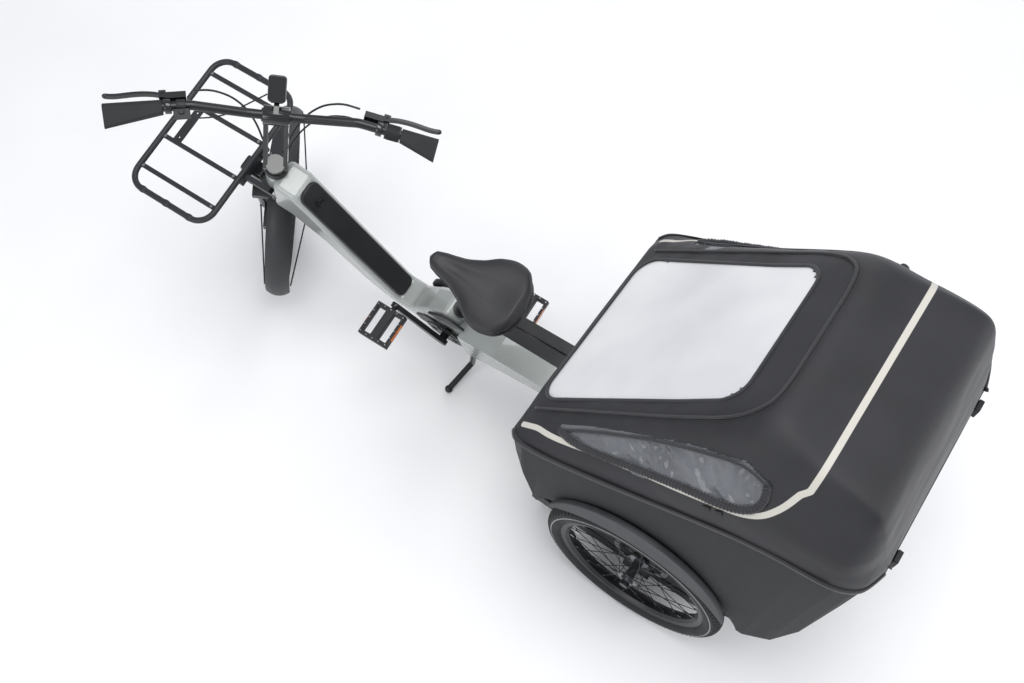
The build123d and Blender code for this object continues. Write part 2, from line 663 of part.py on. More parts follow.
COVER_Y = -FRAME_HALF - 4
with BuildPart() as motor_cover:
    with BuildSketch(Plane.XZ.offset(-COVER_Y)):
        with Locations((BB_X + 24, BB_Z - 26)):
            Circle(96)
        with Locations((BB_X, BB_Z)):
            Circle(CRANK_AXLE_RADIUS + 2, mode=Mode.SUBTRACT)
    extrude(amount=16)
    fillet(motor_cover.faces().sort_by(Axis.Y)[0].outer_wire().edges(), 6)
save(motor_cover, "motor_cover", ON_FRAME)

insert_outline = [(842, 385), (780, 452), (745, 462), (705, 436), (722, 424), (800, 396)]
insert_block = side_plate(insert_outline, FRAME_HALF, FRAME_HALF + 7, 4)
with BuildPart() as frame_insert:
    add(insert_block)
    add(drive_case, mode=Mode.SUBTRACT)
save(frame_insert, "frame_insert", ON_FRAME)

with BuildPart() as seat_clamp:
    add(rod(on_seat_axis(SEAT_COLLAR), on_seat_axis(SEAT_COLLAR + 14), POST_RADIUS + 9))
    add(span((BB_X - 80, -4, BB_Z + 130), (BB_X - 65, 4, BB_Z + 176)))
    add(rod(on_seat_axis(SEAT_COLLAR - 30), on_seat_axis(SEAT_COLLAR), POST_RADIUS + 40), mode=Mode.SUBTRACT)
    add(rod(on_seat_axis(SEAT_COLLAR - 30), on_seat_axis(SEAT_COLLAR + 60), POST_RADIUS + RUNNING_GAP),
        mode=Mode.SUBTRACT)
save(seat_clamp, "seat_clamp", ON_FRAME)

with BuildPart() as tilt_shaft:
    add(rod(on_lean_axis(BEARING_REAR_X - 8), on_lean_axis(446), TILT_SHAFT_RADIUS))
    add(rod(on_lean_axis(BEARING_REAR_X - 9), on_lean_axis(BEARING_REAR_X - CLEAR), TILT_SHAFT_RADIUS + 8))
save(tilt_shaft, "tilt_shaft", ON_FRAME)

centre_cover = side_plate([(702, 400), (702, 428), (412, 446), (412, 400)], -32, 4, 6)
right_cover = side_plate([(690, 360), (690, 430), (412, 442), (412, 370)], 4 - CRANK_Y, -38, 8)
with BuildPart() as spine_covers:
    add(centre_cover)
    add(right_cover)
    add(span((412, -40, 400.5), (440, -30, 430)))
    add(span((640, -40, 405), (690, -30, 425)))
    add(frame.part, mode=Mode.SUBTRACT)
save(spine_covers, "spine_covers", ON_FRAME)

# ---------------------------------------------------------------- front rack and light
RACK_BEND = 46.0
with BuildPart() as rail:
    with BuildLine() as rail_line:
        FilletPolyline(
            (RACK_REAR_X, -RACK_HALF, RACK_Z), (RACK_REAR_X, RACK_HALF, RACK_Z),
            (RACK_FRONT_X, RACK_HALF, RACK_Z), (RACK_FRONT_X, -RACK_HALF, RACK_Z),
            radius=RACK_BEND, close=True)
    with BuildSketch(Plane(origin=rail_line.line @ 0, z_dir=rail_line.line % 0)):
        Circle(RACK_TUBE)
    sweep(path=rail_line.line)
PLATE_X = RACK_FRONT_X - 46
with BuildPart() as front_rack:
    add(rail.part)
    for y in (-152, -56, 56, 152):
        add(span((RACK_REAR_X, y - 6, RACK_Z - 2), (RACK_FRONT_X, y + 6, RACK_Z + 4)))
    add(span((PLATE_X - 12, -56, RACK_Z - 2), (PLATE_X + 12, 56, RACK_Z + 2)))
    # two arms back to the head tube
    add(span((RACK_FOOT_X + 12, -44, RACK_Z - 26), (RACK_REAR_X + 4, -30, RACK_Z - 4)))
    add(span((RACK_FOOT_X + 12, 30, RACK_Z - 26), (RACK_REAR_X + 4, 44, RACK_Z - 4)))
    add(span((RACK_REAR_X - 8, -60, RACK_Z - 26), (RACK_REAR_X + 8, 60, RACK_Z)))
    add(span((RACK_FOOT_X, -44, RACK_Z - 26), (RACK_FOOT_X + 50, 44, RACK_Z - 4)))
    add(rod(on_steer_axis(300), on_steer_axis(700), HEAD_TUBE_RADIUS), mode=Mode.SUBTRACT)
    add(span((RACK_FOOT_X - 50, -43, 0), (RACK_FOOT_X + 19, 43, 1000)), mode=Mode.SUBTRACT)
    for y in (-40, 40):
        add(rod((PLATE_X, y, RACK_Z - 20), (PLATE_X, y, RACK_Z + 20), 2.75), mode=Mode.SUBTRACT)
save(front_rack, "front_rack", ON_FRAME)

with BuildPart() as headlight:
    add(span((RACK_REAR_X - 30, -22, RACK_Z - 62), (RACK_REAR_X + 34, 22, RACK_Z - 26)))
    fillet(headlight.edges().filter_by(Axis.X), 9)
save(headlight, "headlight", ON_FRAME)

# ---------------------------------------------------------------- seat post and saddle
RAIL_Z = SADDLE_Z - SADDLE_THICKNESS - 30
RAIL_RADIUS = 3.5
clamp_x = BB_X - (RAIL_Z - BB_Z) / tan(seat)
with BuildPart() as seatpost:
    add(rod(on_seat_axis(POST_FOOT), on_seat_axis((RAIL_Z - 14 - BB_Z) / sin(seat)), POST_RADIUS))
    add(span((clamp_x - 20, -28, RAIL_Z - 26), (clamp_x + 20, 28, RAIL_Z - RAIL_RADIUS)))
    add(rod((clamp_x, -28, RAIL_Z - 16), (clamp_x, 28, RAIL_Z - 16), 12))
save(seatpost, "seatpost", ON_FRAME)


def saddle_outline(shrink):
    """The saddle seen from above, made smaller by shrink."""
    tail, nose = SADDLE_TAIL_X + shrink, SADDLE_TAIL_X + SADDLE_LENGTH - shrink
    half = SADDLE_HALF - shrink
    with BuildSketch(Plane.XY) as outline:
        with BuildLine():
            Spline((nose, 0), (nose - 22, 20 - shrink / 2), (nose - 110, 34 - shrink / 2),
                   (tail + 88, half * 0.92), (tail + 44, half), (tail + 8, half * 0.66), (tail, 0))
            mirror(about=Plane.XZ)
        make_face()
    return outline.sketch


cushion_outline = Pos(0, 0, SADDLE_Z - SADDLE_THICKNESS) * saddle_outline(0)
base_outline = Pos(0, 0, SADDLE_Z - SADDLE_THICKNESS - 9) * saddle_outline(6)
with BuildPart() as saddle_cushion:
    add(cushion_outline)
    extrude(amount=SADDLE_THICKNESS)
    fillet(saddle_cushion.faces().sort_by(Axis.Z)[-1].edges(), 14)
save(saddle_cushion, "saddle_cushion", ON_FRAME)

saddle_rails = [
    tube_path(
        [(SADDLE_TAIL_X + 40, y, SADDLE_Z - SADDLE_THICKNESS - 6), (SADDLE_TAIL_X + 62, y, RAIL_Z),
         (SADDLE_TAIL_X + 190, y, RAIL_Z), (SADDLE_TAIL_X + 232, y * 0.5, SADDLE_Z - SADDLE_THICKNESS - 6)],
        12, RAIL_RADIUS)
    for y in (-20, 20)
]
with BuildPart() as saddle_base:
    add(base_outline)
    extrude(amount=9 - CLEAR)
    for saddle_rail in saddle_rails:
        add(saddle_rail)
save(saddle_base, "saddle_base", ON_FRAME)

# ---------------------------------------------------------------- steering, about its own axis
bar_clamp = Vector(BAR_FORWARD, 0, HEAD_TOP + BAR_RISE)
with BuildPart() as fork:
    add(rod((0, 0, CROWN_Z), (0, 0, HEAD_TOP + 44), STEERER_RADIUS))
    add(rod((0, 0, CROWN_Z), (0, 0, HEAD_BOTTOM - CLEAR), HEAD_TUBE_RADIUS - 2))
    add(span((-18, -FORK_LEG_Y - 14, CROWN_Z - 16), (42, FORK_LEG_Y + 14, CROWN_Z + 16)))
    for side in (-1, 1):
        leg_y = side * FORK_LEG_Y
        add(rod((14, leg_y, CROWN_Z), (FORK_OFFSET - 8, leg_y, 10), FORK_LEG_RADIUS))
        inner_y, outer_y = sorted((side * DROPOUT_Y, side * (DROPOUT_Y + 14)))
        add(span((FORK_OFFSET - 20, inner_y, -18), (FORK_OFFSET + 16, outer_y, 26)))
    for side in (-1, 1):
        end = side * (DROPOUT_Y + 15.5)
        add(rod((FORK_OFFSET, 0, 0), (FORK_OFFSET, end, 0), FRONT_AXLE_RADIUS))
save(fork, "fork", ON_STEERING)

FENDER_WALL = 2.4
fender_middle = Vector(FORK_OFFSET, 0, 0)
fender_start = radians(FENDER_FROM)
fender_plane = Plane(
    origin=fender_middle, x_dir=(cos(fender_start), 0, sin(fender_start)),
    z_dir=(-sin(fender_start), 0, cos(fender_start)))
with BuildPart() as front_fender:
    with BuildSketch(fender_plane):
        with BuildLine():
            half = FENDER_WIDTH / 2
            outer = ThreePointArc((FENDER_RADIUS - 13, -half), (FENDER_RADIUS, 0), (FENDER_RADIUS - 13, half))
            Line(outer @ 1, (FENDER_RADIUS - 13, half - FENDER_WALL))
            ThreePointArc(
                (FENDER_RADIUS - 13, half - FENDER_WALL), (FENDER_RADIUS - FENDER_WALL, 0),
                (FENDER_RADIUS - 13, FENDER_WALL - half))
            Line((FENDER_RADIUS - 13, FENDER_WALL - half), outer @ 0)
        make_face()
    revolve(axis=Axis((FORK_OFFSET, 0, 0), (0, -1, 0)), revolution_arc=FENDER_TO - FENDER_FROM)
save(front_fender, "front_fender", ON_STEERING)


def on_fender(angle, radius, y):
    """A point about the front axle."""
    return (FORK_OFFSET + radius * cos(radians(angle)), y, radius * sin(radians(angle)))


with BuildPart() as fender_stays:
    for side in (-1, 1):
        eye = (FORK_OFFSET - 14, side * 70, -8)
        for angle in (14, 170):
            add(rod(eye, on_fender(angle, FENDER_RADIUS - 20, side * (FENDER_WIDTH / 2 + 2.3)), 2.2))
        add(rod((eye[0], side * (DROPOUT_Y + 14), eye[2]), (eye[0], side * 72.5, eye[2]), 5))
save(fender_stays, "fender_stays", ON_STEERING)

with BuildPart() as front_caliper:
    disc_y = HUB_HALF + ROTOR_THICKNESS / 2
    add(span((FORK_OFFSET - 96, disc_y - 8, 34), (FORK_OFFSET - 56, disc_y + 14, 84)))
    add(span((FORK_OFFSET - 60, disc_y + 6, 60), (FORK_OFFSET - 20, disc_y + 14, 82)))
    add(span((FORK_OFFSET - 97, disc_y - 2.5, 20), (FORK_OFFSET - 50, disc_y + 2.5, 74)), mode=Mode.SUBTRACT)
    for side in (-1, 1):
        leg_y = side * FORK_LEG_Y
        add(rod((14, leg_y, CROWN_Z), (FORK_OFFSET - 8, leg_y, 10), FORK_LEG_RADIUS), mode=Mode.SUBTRACT)
save(front_caliper, "front_caliper", ON_STEERING)

with BuildPart() as headset_cover:
    with BuildSketch(Plane.XY.offset(HEAD_TOP + CLEAR)):
        Circle(HEAD_TUBE_RADIUS + 2)
    extrude(amount=17, taper=14)
    add(rod((0, 0, HEAD_TOP - 5), (0, 0, HEAD_TOP + 60), STEERER_RADIUS), mode=Mode.SUBTRACT)
save(headset_cover, "headset_cover", ON_STEERING)

stem_along = (bar_clamp - Vector(0, 0, HEAD_TOP + 32)).normalized()
stem_plane = Plane(origin=(0, 0, HEAD_TOP + 32), x_dir=stem_along, z_dir=(0, 1, 0))
stem_length = (bar_clamp - Vector(0, 0, HEAD_TOP + 32)).length
with BuildPart() as stem:
    add(rod((0, 0, HEAD_TOP + 17 + CLEAR), (0, 0, HEAD_TOP + 46), STEERER_RADIUS + 9))
    add(rod((BAR_FORWARD, -30, bar_clamp.Z), (BAR_FORWARD, 30, bar_clamp.Z), CLAMP_RADIUS + 7))
    for side in (-1, 1):
        with BuildSketch(stem_plane.offset(side * 24 - 5)):
            with Locations((stem_length / 2, 0)):
                SlotCenterToCenter(stem_length, 26)
        extrude(amount=10)
    add(rod((0, -24, HEAD_TOP + 32), (0, 24, HEAD_TOP + 32), 13))
    # the arm that carries the display
    add(span((BAR_FORWARD - 5, -6, bar_clamp.Z + CLAMP_RADIUS), (BAR_FORWARD + 30, 6, bar_clamp.Z + CLAMP_RADIUS + 12)))
    add(rod((0, 0, HEAD_TOP - 5), (0, 0, HEAD_TOP + 44), STEERER_RADIUS), mode=Mode.SUBTRACT)
    add(rod((BAR_FORWARD, -60, bar_clamp.Z), (BAR_FORWARD, 60, bar_clamp.Z), CLAMP_RADIUS), mode=Mode.SUBTRACT)
    add(rod((BAR_FORWARD + 30, -14, bar_clamp.Z + CLAMP_RADIUS + 6),
            (BAR_FORWARD + 30, 14, bar_clamp.Z + CLAMP_RADIUS + 6), 4))
save(stem, "stem", ON_STEERING)


# ---------------------------------------------------------------- handlebar and controls
grip_end = Vector(BAR_FORWARD - BAR_BACK, BAR_HALF, bar_clamp.Z + BAR_UP)
bar_bend = Vector(BAR_FORWARD - 4, 190, bar_clamp.Z + 27)
bar_rise = Vector(BAR_FORWARD, 62, bar_clamp.Z)


def flip(point):
    """The mirror point across the middle of the vehicle."""
    return Vector(point.X, -point.Y, point.Z)


bar_tube = tube_path(
    [grip_end, bar_bend, bar_rise, flip(bar_rise), flip(bar_bend), flip(grip_end)], 70, BAR_RADIUS)
with BuildPart() as handlebar:
    add(bar_tube)
    add(rod((BAR_FORWARD, -34, bar_clamp.Z), (BAR_FORWARD, 34, bar_clamp.Z), CLAMP_RADIUS))
save(handlebar, "handlebar", ON_STEERING)

outward = (grip_end - bar_bend).normalized()


def bar_plane(side, from_end):
    """A place on the bar: x forward, y outwards along the bar, z up, mirrored on the right."""
    spot = grip_end - outward * from_end
    run = outward
    if side < 0:
        spot, run = flip(spot), flip(outward)
    forward = (Vector(1, 0, 0) - run * run.X).normalized()
    up = forward.cross(run * side)
    return Plane(origin=spot, x_dir=forward, z_dir=up)


def grip_section(plane, back, half_thickness):
    """One section of a winged grip: round in front, thinner behind."""
    with BuildSketch(plane) as section:
        with BuildLine():
            Line((0, GRIP_RADIUS), (4 - back, half_thickness))
            ThreePointArc((4 - back, half_thickness), (-back, 0), (4 - back, -half_thickness))
            Line((4 - back, -half_thickness), (0, -GRIP_RADIUS))
            ThreePointArc((0, -GRIP_RADIUS), (GRIP_RADIUS, 0), (0, GRIP_RADIUS))
        make_face()
    return section.sketch


def grip(side):
    """One grip, with its wing widest at the end of the bar."""
    length = GRIP_LENGTH - (0 if side > 0 else 40)
    across = bar_plane(side, 0)
    outer_plane = Plane(origin=across.origin, x_dir=across.x_dir, z_dir=across.y_dir * side)
    wing = grip_section(outer_plane, 42, 7)
    neck = grip_section(outer_plane.offset(-length), 18, 14)
    across_bar = across.y_dir * side
    bar_hole = rod(across.origin + across_bar * 20, across.origin - across_bar * 200, BAR_RADIUS)
    return loft([wing.face(), neck.face()]) - bar_hole


grip_solids = [grip(1), grip(-1)]
with BuildPart() as grips:
    for solid in grip_solids:
        add(solid)
save(grips, "grips", ON_STEERING)

shifter_plane = bar_plane(-1, GRIP_LENGTH - 38)
shifter_axis = shifter_plane.y_dir
with BuildPart() as twist_shifter:
    add(rod(shifter_plane.origin, shifter_plane.origin + shifter_axis * 36, 18))
    add(rod(shifter_plane.origin - shifter_axis * 5, shifter_plane.origin + shifter_axis * 60,
            BAR_RADIUS + RUNNING_GAP), mode=Mode.SUBTRACT)
save(twist_shifter, "twist_shifter", ON_STEERING)

LEVER_PIN = 3.0
LEVER_SPOT = (34.0, 10.0)     # pivot forward of the bar, and outwards from the clamp
LEVER_DROP = 28.0             # how far the levers hang below straight forward, in degrees


def lever_plane(side):
    """The plane in which one brake lever turns, hung forward and down from the bar."""
    return Plane(bar_plane(side, GRIP_LENGTH + 12).location * Rot(0, LEVER_DROP, 0))


def brake_body(side):
    """The clamp, arm and reservoir of one brake lever, on its own plane."""
    spot = lever_plane(side)
    ear = span((20, side * LEVER_SPOT[1] - 8, -11), (42, side * LEVER_SPOT[1] + 8, 11))
    gap = span((24, side * LEVER_SPOT[1] - 30, -5.3), (60, side * LEVER_SPOT[1] + 30, 5.3))
    clamp = rod((0, -7, 0), (0, 7, 0), 17)
    tank_low, tank_high = sorted((side * -42, side * 4))
    tank = span((15, tank_low, -8), (34, tank_high, 12))
    pin = rod((LEVER_SPOT[0], side * LEVER_SPOT[1], -13), (LEVER_SPOT[0], side * LEVER_SPOT[1], 13), LEVER_PIN)
    body = (clamp + tank + ear - gap) + pin
    return spot.location * (body - rod((0, -60, 0), (0, 60, 0), BAR_RADIUS))


def brake_blade(side):
    """One slim brake lever with a ball at its end, on its own plane."""
    x, y = LEVER_SPOT
    outline = [(x, y), (x + 8, y + 26), (x + 10, y + 72), (x + 8, y + 108), (x + 11, y + 126)]
    with BuildPart() as blade:
        with BuildSketch(Plane.XY.offset(-5)):
            with BuildLine() as centre:
                Spline(*[(px, side * py) for px, py in outline])
            trace(centre.line, 8)
            with Locations((x, side * y)):
                Circle(8)
                Circle(LEVER_PIN + RUNNING_GAP, mode=Mode.SUBTRACT)
        extrude(amount=10)
    ball = Pos(x + 11, side * (y + 126), 0) * Sphere(6)
    return lever_plane(side).location * (blade.part + ball)


brake_parts = [brake_body(1), brake_body(-1)]
with BuildPart() as brake_bodies:
    for piece in brake_parts:
        add(piece)
save(brake_bodies, "brake_bodies", ON_STEERING)

left_blade = brake_blade(1)
with BuildPart() as brake_lever_left:
    add(left_blade)
save(brake_lever_left, "brake_lever_left", ON_STEERING)

right_blade = brake_blade(-1)
with BuildPart() as brake_lever_right:
    add(right_blade)
save(brake_lever_right, "brake_lever_right", ON_STEERING)

pod_plane = bar_plane(1, GRIP_LENGTH + 15)
button_hole = rod((-19, -26, 0), (-19, -26, 40), 5.5 + CLEAR)
pod_body = span((-30, -44, -8), (-12, -8, 16)) + rod((0, -36, 0), (0, -16, 0), 14.5)
pod_solid = pod_plane.location * (pod_body - button_hole - rod((0, -60, 0), (0, 0, 0), BAR_RADIUS))
with BuildPart() as control_pod:
    add(pod_solid)
save(control_pod, "control_pod", ON_STEERING)

button_solid = pod_plane.location * rod((-19, -26, 6), (-19, -26, 19), 5.5)
with BuildPart() as pod_button:
    add(button_solid)
    fillet(pod_button.edges().sort_by(Axis.Z)[-1], 1)
save(pod_button, "pod_button", ON_STEERING)

DISPLAY_HINGE = Vector(BAR_FORWARD + 30, 0, bar_clamp.Z + CLAMP_RADIUS + 6)
display_tilt = radians(20)
display_plane = Plane(
    origin=DISPLAY_HINGE, x_dir=(cos(display_tilt), 0, sin(display_tilt)),
    z_dir=(-sin(display_tilt), 0, cos(display_tilt)))
with BuildPart() as display:
    with BuildSketch(display_plane.offset(13)):
        with Locations((27, 0)):
            RectangleRounded(62, 42, 9)
    extrude(amount=11)
    fillet(display.faces().sort_by(Axis.Z)[-1].edges(), 3)
    for side in (-1, 1):
        inner_y, outer_y = sorted((side * 6.4, side * 13))
        ear = span((-6, inner_y, -7), (10, outer_y, 13.5))
        add(display_plane.location * ear)
    add(rod(DISPLAY_HINGE - Vector(0, 20, 0), DISPLAY_HINGE + Vector(0, 20, 0), 4 + RUNNING_GAP), mode=Mode.SUBTRACT)
save(display, "display", ON_STEERING)


def hose(points, radius=2.5):
    """A hose along hand-picked points, its bends as large as the runs allow."""
    spots = [Vector(*p) for p in points]
    bends = []
    for before, here, after in zip(spots, spots[1:], spots[2:]):
        run = min((here - before).length, (after - here).length)
        turn = radians((here - before).get_angle(after - here))
        bends.append(0.45 * run / tan(turn / 2))
    return tube_path(spots, bends, radius)


bar_z = bar_clamp.Z
hoses = [
    # left brake to the port beside the head cover
    hose([(118, 190, bar_z + 24), (128, 150, bar_z + 14), (126, 108, bar_z - 10), (112, 74, bar_z - 44),
          (88, 50, bar_z - 82), (58, 34, bar_z - 112), (36, 20, bar_z - 134)]),
    # right brake to the port
    hose([(118, -190, bar_z + 24), (130, -150, bar_z + 12), (130, -106, bar_z - 14), (116, -70, bar_z - 50),
          (92, -44, bar_z - 88), (62, -26, bar_z - 116), (38, -14, bar_z - 136)]),
    # gear cable from the twist shifter
    hose([(86, -206, bar_z + 12), (104, -168, bar_z - 2), (110, -124, bar_z - 26), (102, -84, bar_z - 58),
          (82, -54, bar_z - 92), (56, -34, bar_z - 116), (30, -24, bar_z - 134)], 2.2),
    # display lead from the control pod
    hose([(62, 172, bar_z + 2), (70, 140, bar_z - 6), (86, 104, bar_z - 12), (108, 72, bar_z - 8),
          (122, 44, bar_z + 4), (130, 24, bar_z + 20)], 1.8),
]
with BuildPart() as control_hoses:
    for piece in hoses:
        add(piece)
save(control_hoses, "control_hoses", ON_STEERING)

# ---------------------------------------------------------------- cranks, chainring, pedals, stand
crank = radians(CRANK_ANGLE)
crank_out = Vector(cos(crank), 0, sin(crank)) * CRANK_LENGTH
ARM_THICKNESS = 14.0
PEDAL_IN = CRANK_Y + ARM_THICKNESS + CLEAR
PEDAL_LENGTH = 108.0


def crank_arm(side):
    """One crank arm from the axle to its pedal hole."""
    low = CRANK_Y if side > 0 else -CRANK_Y - ARM_THICKNESS
    arm_plane = Plane(origin=(BB_X, low, BB_Z), x_dir=crank_out * side, z_dir=(0, 1, 0))
    with BuildPart() as arm:
        with BuildSketch(arm_plane):
            with BuildLine():
                Polyline((0, -17), (CRANK_LENGTH, -12), (CRANK_LENGTH, 12), (0, 17), close=True)
            make_face()
            Circle(18)
            with Locations((CRANK_LENGTH, 0)):
                Circle(13)
                Circle(7 + RUNNING_GAP, mode=Mode.SUBTRACT)
        extrude(amount=ARM_THICKNESS)
    return arm.part


arms = [crank_arm(1), crank_arm(-1)]
with BuildPart() as crankset:
    for arm in arms:
        add(arm)
    add(rod((BB_X, -CRANK_Y - 1, BB_Z), (BB_X, CRANK_Y + 1, BB_Z), CRANK_AXLE_RADIUS))
save(crankset, "crankset", ON_FRAME)

RING_Y = FRAME_HALF + 12
RING_TEETH = 32
RING_RADIUS = 58.0
with BuildPart() as chainring:
    with BuildSketch(Plane.XZ.offset(-RING_Y)):
        with Locations((BB_X, BB_Z)):
            Circle(RING_RADIUS)
            with PolarLocations(RING_RADIUS, RING_TEETH):
                RegularPolygon(4, 3)
            with PolarLocations(RING_RADIUS * 0.62, 5):
                Circle(11, mode=Mode.SUBTRACT)
            Circle(CRANK_AXLE_RADIUS, mode=Mode.SUBTRACT)
    extrude(amount=-4)
save(chainring, "chainring", ON_FRAME)


def pedal(side):
    """One platform pedal with its axle, flat at rest."""
    centre = CRANK_AXLE + crank_out * side
    x, z = centre.X, centre.Z
    near, far = side * PEDAL_IN, side * (PEDAL_IN + PEDAL_LENGTH)
    low, high = sorted((near + side * 6, far))
    body = span((x - 46, low, z - 12), (x + 46, high, z + 12))
    for hole_x in (x - 25, x + 25):
        body -= span((hole_x - 13, low + 12, z - 20), (hole_x + 13, high - 12, z + 20))
    axle = rod((x, side * (CRANK_Y + 1), z), (x, far, z), 7)
    return body + axle


pedal_solids = {1: pedal(1), -1: pedal(-1)}
with BuildPart() as pedal_left:
    add(pedal_solids[1])
save(pedal_left, "pedal_left", ON_FRAME)
with BuildPart() as pedal_right:
    add(pedal_solids[-1])
save(pedal_right, "pedal_right", ON_FRAME)

STAND_ELBOW = Vector(735, 58, 74)          # inside the crank arm, and below the sweep of the pedal
FOOT_ON_GROUND = Vector(754, 123, 0)
FOOT_RADIUS = 12.0
STAND_LEG_RADIUS = 9.0
to_upright = (lifted * lean_turn).inverse()
stand_foot = (to_upright * Location(FOOT_ON_GROUND + Vector(0, 0, FOOT_RADIUS))).position
with BuildPart() as kickstand:
    add(rod(STAND_PIVOT + Vector(0, 4, 0), STAND_ELBOW, STAND_LEG_RADIUS))
    add(rod(STAND_ELBOW, stand_foot, STAND_LEG_RADIUS))
    add(Pos(*STAND_ELBOW) * Sphere(STAND_LEG_RADIUS, mode=Mode.PRIVATE))
    add(Pos(*stand_foot) * Sphere(FOOT_RADIUS, mode=Mode.PRIVATE))
    add(rod(STAND_PIVOT - Vector(0, 6, 0), STAND_PIVOT + Vector(0, 12, 0), 14))
    add(rod(STAND_PIVOT - Vector(0, 30, 0), STAND_PIVOT + Vector(0, 30, 0), 5 + RUNNING_GAP), mode=Mode.SUBTRACT)
save(kickstand, "kickstand", ON_FRAME)
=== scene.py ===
# %% [markdown]
# # A leaning cargo tricycle, dressed for the studio
# The measured model comes first. Every piece made below is placed from it, in metres, and rides on
# one of its bodies, so the looks and the mechanics can never drift apart.

# %% Load the measured model
import bpy
import bmesh
import json
from math import cos, pi, radians, sin
from mathutils import Matrix, Vector, noise
from mathutils.bvhtree import BVHTree
from mathutils.kdtree import KDTree

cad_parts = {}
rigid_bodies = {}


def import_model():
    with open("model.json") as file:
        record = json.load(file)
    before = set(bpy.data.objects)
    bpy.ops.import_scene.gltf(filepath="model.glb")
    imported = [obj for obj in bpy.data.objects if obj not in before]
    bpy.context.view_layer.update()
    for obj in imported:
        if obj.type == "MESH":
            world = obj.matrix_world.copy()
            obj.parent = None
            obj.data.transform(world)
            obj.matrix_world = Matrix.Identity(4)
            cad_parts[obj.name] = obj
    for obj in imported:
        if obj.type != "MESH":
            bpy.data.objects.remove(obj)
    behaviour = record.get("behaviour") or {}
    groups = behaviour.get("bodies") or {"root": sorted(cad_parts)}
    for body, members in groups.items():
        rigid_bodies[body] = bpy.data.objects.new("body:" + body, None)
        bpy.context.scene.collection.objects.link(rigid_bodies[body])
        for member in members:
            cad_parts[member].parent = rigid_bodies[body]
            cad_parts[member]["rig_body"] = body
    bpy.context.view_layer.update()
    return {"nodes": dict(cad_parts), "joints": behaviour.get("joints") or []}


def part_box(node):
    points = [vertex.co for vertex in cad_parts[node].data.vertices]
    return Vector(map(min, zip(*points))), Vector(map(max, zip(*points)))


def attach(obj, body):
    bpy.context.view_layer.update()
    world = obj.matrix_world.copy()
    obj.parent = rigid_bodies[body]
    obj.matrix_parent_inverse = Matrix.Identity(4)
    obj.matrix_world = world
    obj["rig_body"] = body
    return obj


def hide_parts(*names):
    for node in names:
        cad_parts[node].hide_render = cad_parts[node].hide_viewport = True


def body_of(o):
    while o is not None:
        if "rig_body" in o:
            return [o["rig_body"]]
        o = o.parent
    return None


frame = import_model()
nodes = frame["nodes"]
joints = {j["name"]: j for j in frame["joints"]}

# %% [markdown]
# ## Places
# The box between the rear wheels stands upright, but the front of the vehicle leans on its stand and
# its bar is turned. The joints in the record say where each of those frames is, so a piece can be
# drawn straight in its own frame and then placed with one matrix.

# %% The leaning frame and the steering frame
REAR_AXLE_X = -0.601
WHEEL_RADIUS = 0.255
LEAN = radians(-14.2)
FORK_OFFSET = 0.045

lean_spot = Vector(joints["lean"]["pos_m"])
lean_axis = Vector(joints["lean"]["axis"])
lean_turn = (Matrix.Translation(lean_spot) @ Matrix.Rotation(LEAN, 4, lean_axis)
             @ Matrix.Translation(-lean_spot))
BOX = Matrix.Translation((REAR_AXLE_X, 0, 0))
LEANING = lean_turn @ BOX


def axes_matrix(x, y, z, origin):
    """The matrix whose columns are three axes and an origin."""
    m = Matrix((x, y, z)).transposed().to_4x4()
    m.translation = origin
    return m


steer_up = Vector(joints["steer"]["axis"])
wheel_axis = Vector(joints["front_wheel_spin"]["axis"])
steer_forward = wheel_axis.cross(steer_up).normalized()
front_hub = Vector(joints["front_wheel_spin"]["pos_m"])
STEERING = axes_matrix(steer_forward, wheel_axis, steer_up, front_hub - steer_forward * FORK_OFFSET)
print("front hub", [round(v, 4) for v in front_hub])

# %% [markdown]
# ## Camera
# The view looks steeply down from behind and to the left, with a little roll, as someone on a
# step ladder would hold a camera. It is made first, because everything else is judged through it.

# %% Camera
EYE = Vector((-0.6917, 1.1594, 2.9134))
YAW, PITCH, ROLL = -1.021493, 1.093769, 0.069461
LENS = 37.27

ahead = Vector((cos(YAW) * cos(PITCH), sin(YAW) * cos(PITCH), -sin(PITCH)))
right = ahead.cross(Vector((0, 0, 1))).normalized()
upward = right.cross(ahead)
rolled_right = right * cos(ROLL) + upward * sin(ROLL)
rolled_up = upward * cos(ROLL) - right * sin(ROLL)
camera_data = bpy.data.cameras.new("camera")
camera_data.lens = LENS
camera_data.sensor_width = 36.0
camera = bpy.data.objects.new("camera", camera_data)
camera.matrix_world = axes_matrix(rolled_right, rolled_up, -ahead, EYE)
bpy.context.scene.collection.objects.link(camera)
bpy.context.scene.camera = camera
print("camera at", tuple(EYE))

# %% [markdown]
# ## Light and floor
# A white cove with large soft lamps keeps every shadow faint. Black satin parts show their form
# only through broad reflections, so the lamps are wide, and the brightest one stands high.

# %% Light and floor
def soft_lamp(name, spot, aim, size, power):
    """A square area lamp that looks at aim."""
    data = bpy.data.lights.new(name, "AREA")
    data.size = size
    data.energy = power
    lamp = bpy.data.objects.new(name, data)
    lamp.location = spot
    lamp.rotation_euler = (Vector(aim) - Vector(spot)).to_track_quat("-Z", "Y").to_euler()
    bpy.context.scene.collection.objects.link(lamp)
    return lamp


